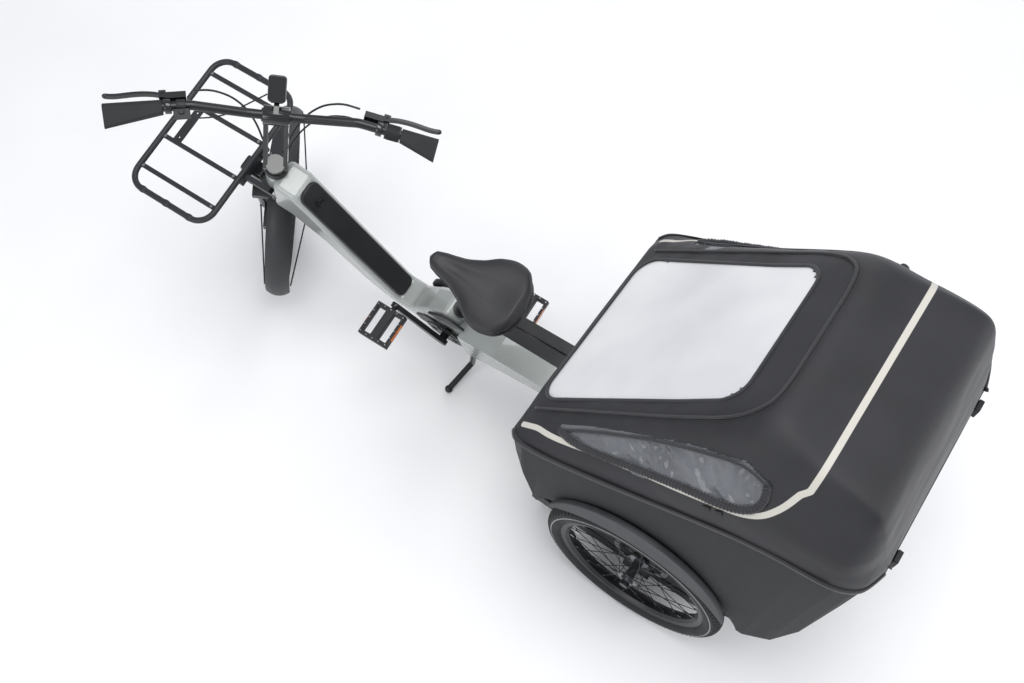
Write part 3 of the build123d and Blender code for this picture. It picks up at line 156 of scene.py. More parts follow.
soft_lamp("lamp_top", (-0.2, 0.3, 4.6), (0, 0, 0.3), 2.4, 95)
soft_lamp("lamp_left", (0.6, 4.0, 2.2), (0, 0, 0.5), 2.2, 42)
soft_lamp("lamp_rear", (-4.0, -0.6, 2.4), (-0.6, 0, 0.6), 2.2, 46)
soft_lamp("lamp_right", (1.2, -4.0, 2.6), (0, 0, 0.5), 2.2, 30)
world = bpy.data.worlds.new("cove")
world.use_nodes = True
world.node_tree.nodes["Background"].inputs["Color"].default_value = (0.93, 0.95, 1.0, 1)
world.node_tree.nodes["Background"].inputs["Strength"].default_value = 0.62
bpy.context.scene.world = world
bpy.context.scene.view_settings.view_transform = "Standard"

# %% [markdown]
# ## Finishes
# One small helper adds a shader node, and one turns a hex colour into the linear numbers a shader
# wants. Each finish then mixes two close colours with noise, lets the roughness wander, and raises
# a fine relief whose scale is the real grain in metres.

# %% Shader helpers
def linear(colour):
    """A hex colour, as a painter reads it, turned into linear light with full alpha."""
    parts = [int(colour[i:i + 2], 16) / 255 for i in (1, 3, 5)]
    return [p / 12.92 if p <= 0.04045 else ((p + 0.055) / 1.055) ** 2.4 for p in parts] + [1.0]


def shader_node(tree, kind, values=None, **settings):
    """Adds a node, sets its settings, and fills its inputs with numbers or links."""
    made = tree.nodes.new(kind)
    for name, value in settings.items():
        setattr(made, name, value)
    for name, value in (values or {}).items():
        if isinstance(value, bpy.types.NodeSocket):
            tree.links.new(value, made.inputs[name])
        else:
            made.inputs[name].default_value = value
    return made


def new_finish(name, **shader):
    """An empty finish: its material, tree and Principled shader."""
    material = bpy.data.materials.new(name)
    material.use_nodes = True
    principled = material.node_tree.nodes["Principled BSDF"]
    for socket, value in shader.items():
        principled.inputs[socket.replace("_", " ")].default_value = value
    return material, material.node_tree, principled


def grained(name, colour, second, grain, relief, rough=(0.5, 0.65), patch=0.05, **shader):
    """A finish with drifting colour, wandering roughness and a fine grain of real size."""
    material, tree, principled = new_finish(name, **shader)
    where = shader_node(tree, "ShaderNodeTexCoord").outputs["Object"]
    drift = shader_node(tree, "ShaderNodeTexNoise", {"Vector": where, "Scale": 1 / patch, "Detail": 4.0})
    fine = shader_node(tree, "ShaderNodeTexNoise", {"Vector": where, "Scale": 1 / grain, "Detail": 2.0})
    share = shader_node(tree, "ShaderNodeMapRange",
                        {"Value": drift.outputs["Fac"], "From Min": 0.35, "From Max": 0.65})
    mix = shader_node(tree, "ShaderNodeMix", data_type="RGBA")
    tree.links.new(share.outputs["Result"], mix.inputs["Factor"])
    mix.inputs["A"].default_value = linear(colour)
    mix.inputs["B"].default_value = linear(second)
    tree.links.new(mix.outputs["Result"], principled.inputs["Base Color"])
    gloss = shader_node(tree, "ShaderNodeMapRange", {
        "Value": drift.outputs["Fac"], "From Min": 0.3, "From Max": 0.7, "To Min": rough[0],
        "To Max": rough[1]})
    tree.links.new(gloss.outputs["Result"], principled.inputs["Roughness"])
    bump = shader_node(tree, "ShaderNodeBump",
                       {"Height": fine.outputs["Fac"], "Strength": 1.0, "Distance": relief})
    tree.links.new(bump.outputs["Normal"], principled.inputs["Normal"])
    return material


# %% Plain finishes of the hard pieces
FINISHES = {
    "carriage_paint": grained("carriage_paint", "#111214", "#18191b", 0.0012, 0.00008, (0.38, 0.5),
                              Metallic=0.0),
    "caliper_paint": grained("caliper_paint", "#101113", "#17181a", 0.0009, 0.00006, (0.3, 0.42)),
    "tyre_rubber": grained("tyre_rubber", "#141517", "#1b1c1e", 0.0014, 0.00018, (0.62, 0.8)),
    "rim_black": grained("rim_black", "#151618", "#1e1f22", 0.002, 0.00003, (0.3, 0.42)),
    "spoke_black": grained("spoke_black", "#1c1d1f", "#2a2b2d", 0.0015, 0.00002, (0.3, 0.4), Metallic=0.6),
    "hub_steel": grained("hub_steel", "#8c8e91", "#6e7073", 0.0006, 0.00003, (0.25, 0.42), Metallic=1.0),
    "sage_paint": grained("sage_paint", "#9fa4a1", "#989d9a", 0.004, 0.00002, (0.2, 0.28), 0.12,
                          Coat_Weight=0.5),
    "battery_shell": grained("battery_shell", "#111213", "#16171a", 0.0008, 0.00012, (0.42, 0.52)),
    "lock_steel": grained("lock_steel", "#5d5f62", "#85878a", 0.0006, 0.00003, (0.25, 0.38), Metallic=1.0),
    "moulded_black": grained("moulded_black", "#101113", "#17181a", 0.0009, 0.00012, (0.45, 0.6)),
    "gloss_black": grained("gloss_black", "#0e0f10", "#151618", 0.004, 0.00002, (0.12, 0.22),
                           Coat_Weight=0.4),
    "satin_black": grained("satin_black", "#0e0f10", "#151618", 0.0015, 0.00003, (0.28, 0.4)),
    "rack_grey": grained("rack_grey", "#1c1e20", "#24262a", 0.0012, 0.0001, (0.42, 0.55)),
    "shaft_steel": grained("shaft_steel", "#7c7e81", "#94969a", 0.0006, 0.00002, (0.25, 0.35), Metallic=1.0),
    "insert_grey": grained("insert_grey", "#1e2022", "#26282b", 0.0008, 0.0001, (0.45, 0.58)),
    "fender_grey": grained("fender_grey", "#232527", "#2b2d30", 0.0011, 0.00012, (0.45, 0.58)),
    "hose_black": grained("hose_black", "#121315", "#1a1b1d", 0.0008, 0.00003, (0.35, 0.45)),
    "grip_rubber": grained("grip_rubber", "#131416", "#1c1d1f", 0.0008, 0.00025, (0.6, 0.75)),
    "guard_black": grained("guard_black", "#131417", "#1a1b1e", 0.0012, 0.00025, (0.5, 0.65)),
    "arch_grey": grained("arch_grey", "#2b2d30", "#333538", 0.0014, 0.0002, (0.5, 0.62)),
    "amber_lens": grained("amber_lens", "#e0761a", "#c8640f", 0.003, 0.0003, (0.2, 0.3), Coat_Weight=0.6),
    "red_lens": grained("red_lens", "#8e1013", "#6b090c", 0.003, 0.0003, (0.12, 0.2), Coat_Weight=0.7),
    "band_grey": grained("band_grey", "#c9c7bf", "#b9b7b0", 0.0008, 0.00015, (0.35, 0.5)),
    "strap_black": grained("strap_black", "#121316", "#1a1b1e", 0.0012, 0.0003, (0.7, 0.85),
                           Sheen_Weight=0.3),
    "zinc": grained("zinc", "#9b9da0", "#83858a", 0.0008, 0.00003, (0.28, 0.4), Metallic=1.0),
}
print("hard finishes", len(FINISHES))

# %% [markdown]
# The foam box is moulded from beads that fuse together, so its skin is a field of small rounded
# cells. A Voronoi texture gives exactly that: its distance makes both the dimples and the slightly
# darker joints between beads.

# %% Bead foam
def bead_foam(name, colour, joint, bead):
    """Moulded bead foam: rounded cells with dark joints."""
    material, tree, principled = new_finish(name)
    where = shader_node(tree, "ShaderNodeTexCoord").outputs["Object"]
    cells = shader_node(tree, "ShaderNodeTexVoronoi", {"Vector": where, "Scale": 1 / bead},
                        feature="DISTANCE_TO_EDGE")
    tint = shader_node(tree, "ShaderNodeTexNoise", {"Vector": where, "Scale": 420.0, "Detail": 3.0})
    edge = shader_node(tree, "ShaderNodeMapRange", {"Value": cells.outputs["Distance"], "From Max": 0.12})
    mix = shader_node(tree, "ShaderNodeMix", data_type="RGBA")
    mix.inputs["A"].default_value = linear(joint)
    mix.inputs["B"].default_value = linear(colour)
    tree.links.new(edge.outputs["Result"], mix.inputs["Factor"])
    tree.links.new(mix.outputs["Result"], principled.inputs["Base Color"])
    rough = shader_node(tree, "ShaderNodeMapRange",
                        {"Value": tint.outputs["Fac"], "To Min": 0.62, "To Max": 0.9})
    tree.links.new(rough.outputs["Result"], principled.inputs["Roughness"])
    bump = shader_node(tree, "ShaderNodeBump",
                       {"Height": edge.outputs["Result"], "Strength": 0.9, "Distance": 0.0004})
    rise = shader_node(tree, "ShaderNodeBump", {
        "Height": tint.outputs["Fac"], "Strength": 0.6, "Distance": 0.0003, "Normal": bump.outputs["Normal"]})
    tree.links.new(rise.outputs["Normal"], principled.inputs["Normal"])
    return material


FINISHES["bead_foam"] = bead_foam("bead_foam", "#242527", "#151617", 0.0042)

# %% [markdown]
# The cover is a coated polyester: black, a little blue in the light, woven fine enough to feel but
# barely to see, with a pale reflective band sewn on. The band follows the cloth, so the mesh carries
# each point's distance to it as an attribute, and the shader only asks whether that is small.

# %% Coated cover cloth
def cover_cloth(name, colour, second, band, thread):
    """Woven coated cloth, with a band where the stored distance is small."""
    material, tree, principled = new_finish(name, Sheen_Weight=0.12, Sheen_Roughness=0.4)
    where = shader_node(tree, "ShaderNodeTexCoord").outputs["Object"]
    weave = []
    for axis in ("X", "Y"):
        wave = shader_node(
            tree, "ShaderNodeTexWave",
            {"Vector": where, "Scale": 0.16 / thread, "Distortion": 1.5, "Detail": 1.0},
            wave_type="BANDS", bands_direction=axis)
        weave.append(wave.outputs["Fac"])
    crossing = shader_node(tree, "ShaderNodeMath", operation="MULTIPLY")
    tree.links.new(weave[0], crossing.inputs[0])
    tree.links.new(weave[1], crossing.inputs[1])
    drift = shader_node(tree, "ShaderNodeTexNoise", {"Vector": where, "Scale": 9.0, "Detail": 5.0})
    share = shader_node(tree, "ShaderNodeMapRange",
                        {"Value": drift.outputs["Fac"], "From Min": 0.35, "From Max": 0.65})
    cloth = shader_node(tree, "ShaderNodeMix", data_type="RGBA")
    cloth.inputs["A"].default_value = linear(colour)
    cloth.inputs["B"].default_value = linear(second)
    tree.links.new(share.outputs["Result"], cloth.inputs["Factor"])
    distance = shader_node(tree, "ShaderNodeAttribute", attribute_name="band")
    on_band = shader_node(tree, "ShaderNodeMapRange", {
        "Value": distance.outputs["Fac"], "From Min": 0.0072, "From Max": 0.0064})
    mix = shader_node(tree, "ShaderNodeMix", data_type="RGBA")
    mix.inputs["B"].default_value = linear(band)
    tree.links.new(on_band.outputs["Result"], mix.inputs["Factor"])
    tree.links.new(cloth.outputs["Result"], mix.inputs["A"])
    tree.links.new(mix.outputs["Result"], principled.inputs["Base Color"])
    rough = shader_node(tree, "ShaderNodeMapRange",
                        {"Value": drift.outputs["Fac"], "To Min": 0.5, "To Max": 0.68})
    tree.links.new(rough.outputs["Result"], principled.inputs["Roughness"])
    bump = shader_node(tree, "ShaderNodeBump",
                       {"Height": crossing.outputs[0], "Strength": 0.5, "Distance": 0.0002})
    tree.links.new(bump.outputs["Normal"], principled.inputs["Normal"])
    return material


FINISHES["cover_cloth"] = cover_cloth("cover_cloth", "#1a1a1e", "#212126", "#c4c1b8", 0.0007)


# %% Clear sheets
def clear_sheet(name, colour, rough, glare_patch_size, alpha, coat=0.6):
    """Flexible clear sheet: its pale base colour is a painted reflection of the bright studio, mixed in
    patches with a lighter painted glare, with a faint cloudiness in its roughness.
    """
    material, tree, principled = new_finish(name, Alpha=alpha, Coat_Weight=coat)
    where = shader_node(tree, "ShaderNodeTexCoord").outputs["Object"]
    glare_and_haze = shader_node(tree, "ShaderNodeTexNoise", {"Vector": where, "Scale": 1 / glare_patch_size, "Detail": 3.0})
    mix = shader_node(tree, "ShaderNodeMix", data_type="RGBA")
    # Painted reflection: the sheet's base colour and the lighter patches mixed into it stand in for the
    # studio reflected in clear plastic.
    mix.inputs["A"].default_value = linear(colour)
    mix.inputs["B"].default_value = linear("#ffffff" if alpha > 0.7 else "#8d9096")
    tree.links.new(glare_and_haze.outputs["Fac"], mix.inputs["Factor"])
    tree.links.new(mix.outputs["Result"], principled.inputs["Base Color"])
    gloss = shader_node(tree, "ShaderNodeMapRange",
                        {"Value": glare_and_haze.outputs["Fac"], "To Min": rough, "To Max": rough + 0.1})
    tree.links.new(gloss.outputs["Result"], principled.inputs["Roughness"])
    return material


# Painted reflection: the windscreen is nearly opaque pale grey and the film mid grey, in place of the light
# they reflect.
FINISHES["screen_sheet"] = clear_sheet("screen_sheet", "#b9bbc1", 0.10, 0.35, 0.86)
FINISHES["window_sheet"] = clear_sheet("window_sheet", "#67696e", 0.10, 0.1, 0.52, 0.3)


# %% Saddle skin and padded cloth
def pebbled_skin(name, colour, second, pebble, relief, rough):
    """Embossed skin: small cells like leather."""
    material, tree, principled = new_finish(name)
    where = shader_node(tree, "ShaderNodeTexCoord").outputs["Object"]
    cells = shader_node(tree, "ShaderNodeTexVoronoi", {"Vector": where, "Scale": 1 / pebble},
                        feature="SMOOTH_F1")
    drift = shader_node(tree, "ShaderNodeTexNoise", {"Vector": where, "Scale": 25.0, "Detail": 4.0})
    mix = shader_node(tree, "ShaderNodeMix", data_type="RGBA")
    mix.inputs["A"].default_value = linear(colour)
    mix.inputs["B"].default_value = linear(second)
    tree.links.new(drift.outputs["Fac"], mix.inputs["Factor"])
    tree.links.new(mix.outputs["Result"], principled.inputs["Base Color"])
    gloss = shader_node(tree, "ShaderNodeMapRange", {
        "Value": drift.outputs["Fac"], "To Min": rough[0], "To Max": rough[1]})
    tree.links.new(gloss.outputs["Result"], principled.inputs["Roughness"])
    bump = shader_node(tree, "ShaderNodeBump",
                       {"Height": cells.outputs["Distance"], "Strength": 0.7, "Distance": relief})
    tree.links.new(bump.outputs["Normal"], principled.inputs["Normal"])
    return material


FINISHES["saddle_skin"] = pebbled_skin("saddle_skin", "#151518", "#1f1f23", 0.0016, 0.00025, (0.42, 0.56))
FINISHES["cushion_cloth"] = pebbled_skin("cushion_cloth", "#2f3135", "#3a3c41", 0.0022, 0.0004, (0.75, 0.9))
FLOOR_FINISH = grained("studio_floor", "#f7f7f7", "#f3f3f4", 0.01, 0.00002, (0.75, 0.85), 0.6)
print("finishes", len(FINISHES))

# %% The floor
bpy.ops.mesh.primitive_plane_add(size=24)
floor = bpy.context.object
floor.name = "studio_floor"
floor.data.materials.append(FLOOR_FINISH)

# %% [markdown]
# ## Dressing the measured pieces
# Pieces whose measured shape is already right keep it and only get their finish.

# %% Finishes of the measured pieces
DRESS = {
    "bead_foam": ["cargo_tub"], "arch_grey": ["arch_trims"], "guard_black": ["corner_guards"],
    "satin_black": ["canopy_hoops", "seatpost", "seat_clamp", "fork", "crankset", "kickstand", "handlebar"],
    "moulded_black": ["hem_buckles", "motor_cover", "spine_covers", "saddle_base", "control_pod",
                      "pod_button",
                      "pedal_left", "pedal_right", "headset_cover"],
    "red_lens": ["tail_lights"], "carriage_paint": ["carriage_frame", "chainring", "motor", "fender_stays"],
    "caliper_paint": ["rear_calipers", "front_caliper"], "sage_paint": ["frame"],
    "battery_shell": ["battery"], "lock_steel": ["battery_lock"], "insert_grey": ["frame_insert"],
    "rack_grey": ["front_rack"], "gloss_black": ["headlight", "display", "stem", "brake_bodies",
                                                "brake_lever_left", "brake_lever_right"],
    "shaft_steel": ["tilt_shaft"], "grip_rubber": ["grips", "twist_shifter"], "fender_grey": ["front_fender"],
    "hose_black": ["control_hoses"],
    "tyre_rubber": ["front_tyre", "rear_left_tyre", "rear_right_tyre"],
    "rim_black": ["front_rim", "rear_left_rim", "rear_right_rim"],
    "spoke_black": ["front_spokes", "rear_left_spokes", "rear_right_spokes"],
    "hub_steel": ["front_hub", "rear_left_hub", "rear_right_hub"],
    "screen_sheet": ["windscreen"], "window_sheet": ["side_windows"], "cover_cloth": ["canopy_cover"],
    "cushion_cloth": ["bench_cushion", "back_cushion"], "saddle_skin": ["saddle_cushion"],
}
for finish_name, members in DRESS.items():
    for member in members:
        nodes[member].data.materials.clear()
        nodes[member].data.materials.append(FINISHES[finish_name])
print("dressed", sum(len(m) for m in DRESS.values()), "of", len(nodes))

# %% [markdown]
# ## The fabric cover
# On the real vehicle one fabric cover is stretched over two hoops and zipped to the rim of the box.
# Its shape is given by a row of cross sections. A cage of those sections, blended by smooth curves,
# gives rounded shoulders and a soft ridge. The cage is then sampled into a dense cloth, because
# openings, seams and the band need points close to them.

# %% Sections of the cover
# x from the rear axle, height of the rim, height of the roof, half widths from the rim to the roof
COVER_SECTIONS = [
    (0.400, 0.598, 0.618, (0.330, 0.322, 0.300, 0.285, 0.262)),
    (0.375, 0.610, 0.6435, (0.356, 0.345, 0.320, 0.298, 0.262)),
    (0.283, 0.652, 0.738, (0.366, 0.350, 0.322, 0.290, 0.256)),
    (0.102, 0.741, 0.925, (0.366, 0.345, 0.303, 0.270, 0.234)),
    (-0.075, 0.832, 1.107, (0.362, 0.344, 0.297, 0.254, 0.196)),
    (-0.200, 0.884, 1.104, (0.358, 0.345, 0.303, 0.262, 0.222)),
    (-0.345, 0.894, 1.086, (0.350, 0.338, 0.300, 0.268, 0.238)),
    (-0.405, 0.879, 0.965, (0.318, 0.310, 0.288, 0.264, 0.236)),
    (-0.432, 0.866, 0.880, (0.252, 0.249, 0.244, 0.238, 0.228)),
]
RISE_SHARES = (0.0, 0.30, 0.66, 0.90, 1.0)


def section_points(section):
    """The left half of one cross section, from the rim to the middle of the roof."""
    x, rim, roof, widths = section
    left = [Vector((x, w, rim + s * (roof - rim))) for w, s in zip(widths, RISE_SHARES)]
    return left + [Vector((x, widths[-1] * 0.5, roof)), Vector((x, 0, roof))]


def smooth_between(rows, at):
    """Rows of points blended by a smooth curve at a fractional index."""
    i = min(int(at), len(rows) - 2)
    t = at - i
    before, after = rows[max(i - 1, 0)], rows[min(i + 2, len(rows) - 1)]
    here, there = rows[i], rows[i + 1]
    ease = 0.42
    out = []
    for a, b, c, d in zip(before, here, there, after):
        out_speed, in_speed = (c - a) * ease, (d - b) * ease
        h00, h10 = 2 * t ** 3 - 3 * t ** 2 + 1, t ** 3 - 2 * t ** 2 + t
        h01, h11 = -2 * t ** 3 + 3 * t ** 2, t ** 3 - t ** 2
        out.append(b * h00 + out_speed * h10 + c * h01 + in_speed * h11)
    return out


LENGTHWAYS, ACROSS = ((190, 90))


def sampled(half_rows, lengthways, across):
    """A grid of points over mirrored half sections, from the right edge to the left edge."""
    rows = []
    for i in range(lengthways + 1):
        row = smooth_between(half_rows, i / lengthways * (len(half_rows) - 1))
        half = [smooth_between([[p] for p in row], j / across * (len(row) - 1))[0] for j in range(across + 1)]
        rows.append([Vector((p.x, -p.y, p.z)) for p in half] + half[-2::-1])
    return rows


grid = sampled([section_points(section) for section in COVER_SECTIONS], LENGTHWAYS, ACROSS)
print("cover grid", len(grid), "by", len(grid[0]))

# %% [markdown]
# Where a window meets the cloth, the cut edge has to be clean. Each opening is a rounded outline
# seen square on, and its signed distance is negative inside. Wherever an edge of the cloth crosses
# zero, the nearer point slides onto the outline, so the opening follows it exactly.

# %% Outlines and signed distances
def outline_distance(outline, radius):
    """A function giving the signed distance to a polygon with rounded corners."""
    middle = sum((Vector(p) for p in outline), Vector((0, 0))) / len(outline)
    edges = []
    for a, b in zip(outline, outline[1:] + outline[:1]):
        a, b = Vector(a), Vector(b)
        out = Vector((b.y - a.y, a.x - b.x)).normalized()
        if out.dot(middle - a) > 0:
            out = -out
        edges.append((a, out))

    def distance(p):
        reach = [(p - a).dot(out) + radius for a, out in edges]
        top = sorted(reach)[-2:]
        if top[0] > 0:
            return (top[0] ** 2 + top[1] ** 2) ** 0.5 - radius
        return top[1] - radius
    return distance


SLOPE_FOOT, SLOPE_TOP = Vector((0.400, 0.618)), Vector((-0.075, 1.107))
slope_run = SLOPE_TOP - SLOPE_FOOT
SLOPE_LENGTH = slope_run.length
SCREEN = [(0.017, -0.236), (0.017, 0.236), (SLOPE_LENGTH - 0.082, 0.184), (SLOPE_LENGTH - 0.082, -0.184)]
screen_distance = outline_distance(SCREEN, 0.052)
WINDOW = [
    (0.290, 0.712), (0.193, 0.760), (0.076, 0.834), (-0.031, 0.902), (-0.112, 0.939), (-0.149, 0.968),
    (-0.160, 1.002), (-0.148, 1.031), (-0.090, 1.038), (-0.005, 0.977), (0.115, 0.873), (0.221, 0.779),
]


def on_slope(p):
    """Place on the sloping front: distance up the slope, and sideways."""
    along = (Vector((p.x, p.z)) - SLOPE_FOOT).dot(slope_run) / SLOPE_LENGTH
    return Vector((along, p.y))


def polygon_distance(outline):
    """Signed distance to any polygon, negative inside."""
    corners = [Vector(p) for p in outline]

    def distance(p):
        inside, best = False, 9.0
        for a, b in zip(corners, corners[1:] + corners[:1]):
            run = b - a
            share = max(0.0, min(1.0, (p - a).dot(run) / run.length_squared))
            best = min(best, (p - a - run * share).length)
            if (a.y > p.y) != (b.y > p.y) and p.x < a.x + (p.y - a.y) / (b.y - a.y) * run.x:
                inside = not inside
        return -best if inside else best
    return distance


window_shape = polygon_distance(WINDOW)


def screen_edge(p):
    """Signed distance to the windscreen's edge, large anywhere off the slope."""
    if p.x < -0.05 or abs(p.y) > 0.28:
        return 0.2
    return screen_distance(on_slope(p))


def window_edge(p):
    """Signed distance to a side window's softened edge, large on the roof."""
    if abs(p.y) < 0.24:
        return 0.2
    return window_shape(Vector((p.x, p.z))) - 0.006


# %% [markdown]
# The band starts at the front corner, follows the side some 80 mm above the rim, turns up behind
# the window in a short curve, and crosses the roof. Distances to it are measured along the cloth.

# %% Line of the reflective band
SIDE_BAND = [
    (0.384, 0.626), (0.345, 0.662), (0.312, 0.684), (0.221, 0.744), (0.122, 0.800), (0.030, 0.856),
    (-0.058, 0.905), (-0.110, 0.930), (-0.145, 0.949), (-0.172, 0.974), (-0.193, 1.010),
    (-0.206, 1.050), (-0.214, 1.090), (-0.215, 1.130),
]


def band_line():
    """Close points along the band on the cover: up the right side, over the roof and down the left."""
    sides = {side: [from_side(p, side) for p in eased(SIDE_BAND[:-2], 2)] for side in (-1, 1)}
    row = min(grid, key=lambda points: abs(points[len(points) // 2].x - SIDE_BAND[-1][0]))
    roof = [p for p in row if p.z > 1.062]
    return resampled(sides[-1] + roof + sides[1][::-1], 0.001)


def band_distance(p):
    """How far a point of the cloth is from the middle of the band."""
    return band_places.find(p)[2]


# %% [markdown]
# Stretched cloth still shows how it is held: it sinks a little between the hoops, puckers at the
# front corners and ripples along the zip. These moves are small sums of smooth noise, strongest
# where the real cloth is pulled.

# %% Folds and sag
def folded(p, normal):
    """A point of the cloth moved in by its sag and folds."""
    sag = 0.004 * (0.5 + 0.5 * noise.noise(p * 6.0))
    pull = noise.noise(Vector((p.x * 5.0, p.y * 9.0, p.z * 26.0)) + Vector((3.1, 0, 0)))
    fold = 0.0026 * pull * max(0.0, min(1.0, (0.36 - abs(abs(p.y) - 0.30)) * 4))
    near_screen = max(0.0, 1 - abs(screen_edge(p)) / 0.05)
    return p - normal * (sag * (1 - near_screen) + 0.0012 + max(fold, -0.001))


# %% Build the cloth, with openings snapped clean
def grid_mesh(name, points, keep, edge_functions, moved_by, matrix, layer_name=None, layer_value=None):
    """A mesh of a grid where keep is true: openings snapped to their outlines, then every point moved."""
    bm = bmesh.new()
    layer = bm.verts.layers.float.new(layer_name) if layer_name else None
    rows = [[bm.verts.new(p) for p in row] for row in points]
    for a, b in zip(rows, rows[1:]):
        for j in range(len(a) - 1):
            bm.faces.new((a[j], a[j + 1], b[j + 1], b[j]))
    bm.normal_update()
    for edge_of in edge_functions:
        values = {v: edge_of(v.co) for v in bm.verts}
        for e in bm.edges:
            v, w = e.verts
            dv, dw = values[v], values[w]
            if dv * dw < 0:
                near, other = (v, w) if abs(dv) < abs(dw) else (w, v)
                dn, do = values[near], values[other]
                near.co = near.co.lerp(other.co, abs(dn) / (abs(dn) + abs(do)))
                values[near] = 0.0
    gone = [f for f in bm.faces if not keep(f.calc_center_median())]
    bmesh.ops.delete(bm, geom=gone, context="FACES")
    bmesh.ops.delete(bm, geom=[v for v in bm.verts if not v.link_faces], context="VERTS")
    bmesh.ops.dissolve_degenerate(bm, dist=0.00002, edges=bm.edges)
    bm.normal_update()
    moved = {v: moved_by(v.co, v.normal) for v in bm.verts}
    for v in bm.verts:
        if layer:
            v[layer] = layer_value(v.co)
    for v, p in moved.items():
        v.co = p
    mesh = bpy.data.meshes.new(name)
    bm.to_mesh(mesh)
    bm.free()
    mesh.transform(matrix)
    return mesh


def add_piece(name, mesh, finish, body, smooth=True):
    """An object for a finished mesh, riding on its body."""
    piece = bpy.data.objects.new(name, mesh)
    bpy.context.scene.collection.objects.link(piece)
    mesh.materials.clear()
    mesh.materials.append(FINISHES[finish])
    if smooth:
        mesh.polygons.foreach_set("use_smooth", [True] * len(mesh.polygons))
    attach(piece, body)
    return piece


def walled(piece, thickness, offset=-1.0):
    """Gives a thin piece its real thickness, as plain mesh."""
    wall = piece.modifiers.new("wall", "SOLIDIFY")
    wall.thickness = thickness
    wall.offset = offset
    plain = bpy.data.meshes.new_from_object(piece.evaluated_get(bpy.context.evaluated_depsgraph_get()))
    piece.modifiers.remove(wall)
    plain.name = piece.name
    piece.data = plain
    return piece


def resampled(points, step, closed=False):
    """The same line with points an even step apart."""
    line = [Vector(p) for p in points] + ([Vector(points[0])] if closed else [])
    total = sum((b - a).length for a, b in zip(line, line[1:]))
    count = max(2, round(total / step))
    out, walked, at = [], 0.0, 0
    for i in range(count + (0 if closed else 1)):
        target = total * i / count
        while at < len(line) - 2 and walked + (line[at + 1] - line[at]).length < target:
            walked += (line[at + 1] - line[at]).length
            at += 1
        run = line[at + 1] - line[at]
        out.append(line[at] + run * min(1.0, (target - walked) / max(run.length, 1e-9)))
    return out


def eased(points, rounds=2, closed=False):
    """The same line with its corners cut by Chaikin's rule."""
    line = [Vector(p) for p in points]
    for _ in range(rounds):
        pairs = list(zip(line, line[1:] + line[:1])) if closed else list(zip(line, line[1:]))
        cut = [q for a, b in pairs for q in (a.lerp(b, 0.25), a.lerp(b, 0.75))]
        line = cut if closed else [line[0]] + cut[1:-1] + [line[-1]]
    return line


def from_side(p, side):
    """The place of the cover straight in from one side, at p = (x, z)."""
    hit = skin.ray_cast(Vector((p[0], side * 0.6, p[1])), Vector((0, -side, 0)))[0]
    return hit if hit else skin.find_nearest(Vector((p[0], side * 0.3, p[1])))[0]


skin_points = [p for row in grid for p in row]
wide = len(grid[0])
skin_faces = [(i * wide + j, i * wide + j + 1, (i + 1) * wide + j + 1, (i + 1) * wide + j)
              for i in range(len(grid) - 1) for j in range(wide - 1)]
skin = BVHTree.FromPolygons(skin_points, skin_faces)

line_points = band_line()
band_places = KDTree(len(line_points))
for number, p in enumerate(line_points):
    band_places.insert(p, number)
band_places.balance()
cover_mesh = grid_mesh(
    "cover_fabric", grid, lambda p: screen_edge(p) > 0 and window_edge(p) > 0, (screen_edge, window_edge),
    folded, BOX,
    "band", band_distance)
cover = walled(add_piece("cover_fabric", cover_mesh, "cover_cloth", "carriage"), 0.0018)
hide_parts("canopy_cover")

# %% [markdown]
# The clear parts are sheets too. The windscreen is welded in under the cloth and bulges very
# slightly; the side windows are soft film that was folded for storage, so they stay creased.

# %% Windscreen and side windows
def screen_shape(p, normal):
    """The windscreen's sheet: just under the cloth, fuller in its middle."""
    depth = max(0.0, min(1.0, -screen_edge(p) / 0.16))
    wave = noise.noise(Vector((p.x * 3.1, p.y * 4.3, 7.0)))
    return p - normal * (0.0036 - 0.004 * depth * depth * (3 - 2 * depth) + 0.0016 * wave * depth)


def film_shape(p, normal):
    """Creased film: sharp folds at two sizes, fading out at the welded edge."""
    q = Vector((p.x, p.z, 0.0))
    q += Vector((noise.noise(q * 9.0), noise.noise(q * 9.0 + Vector((5, 0, 0))), 0)) * 0.030
    broad = abs(noise.noise(Vector((q.x * 17.0, q.y * 24.0, 1.0))))
    crease = broad + 0.5 * abs(noise.noise(Vector((q.x * 46, q.y * 40, 4.0))))
    depth = max(0.0, min(1.0, -window_edge(p) / 0.02))
    return p - normal * (0.0046 + (0.010 * (crease - 0.2) + 0.003) * depth)


fine = sampled([section_points(section) for section in COVER_SECTIONS], LENGTHWAYS * 2, ACROSS * 2)
screen_mesh = grid_mesh(
    "clear_windscreen", grid, lambda p: screen_edge(p) < 0.009, (lambda p: screen_edge(p) - 0.009,),
    screen_shape, BOX)
screen = walled(add_piece("clear_windscreen", screen_mesh, "screen_sheet", "carriage"), 0.0006)
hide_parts("windscreen")
film_mesh = grid_mesh(
    "clear_side_windows", fine, lambda p: window_edge(p) < 0.008, (lambda p: window_edge(p) - 0.008,),
    film_shape, BOX)
film = walled(add_piece("clear_side_windows", film_mesh, "window_sheet", "carriage"), 0.0005)
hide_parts("side_windows")

# %% [markdown]
# ## Seams, bindings and hems
# Everything sewn on the cover is a low strip that follows the cloth. One function lays such a strip
# along any line: it snaps the line to the cover, carries the cloth's normal along, and sweeps a
# small domed section.

# %% Strips that follow a surface
def on_skin(points, surface, lift=0.0):
    """Each point of a line moved to the nearest place of a surface, with the normal there."""
    places = []
    for p in points:
        spot, normal, _, _ = surface.find_nearest(p)
        places.append((spot + normal * lift, normal))
    return places


DOMED = [(-0.5, -0.5), (-0.46, 0.35), (-0.3, 0.85), (0.0, 1.0), (0.3, 0.85), (0.46, 0.35), (0.5, -0.5)]


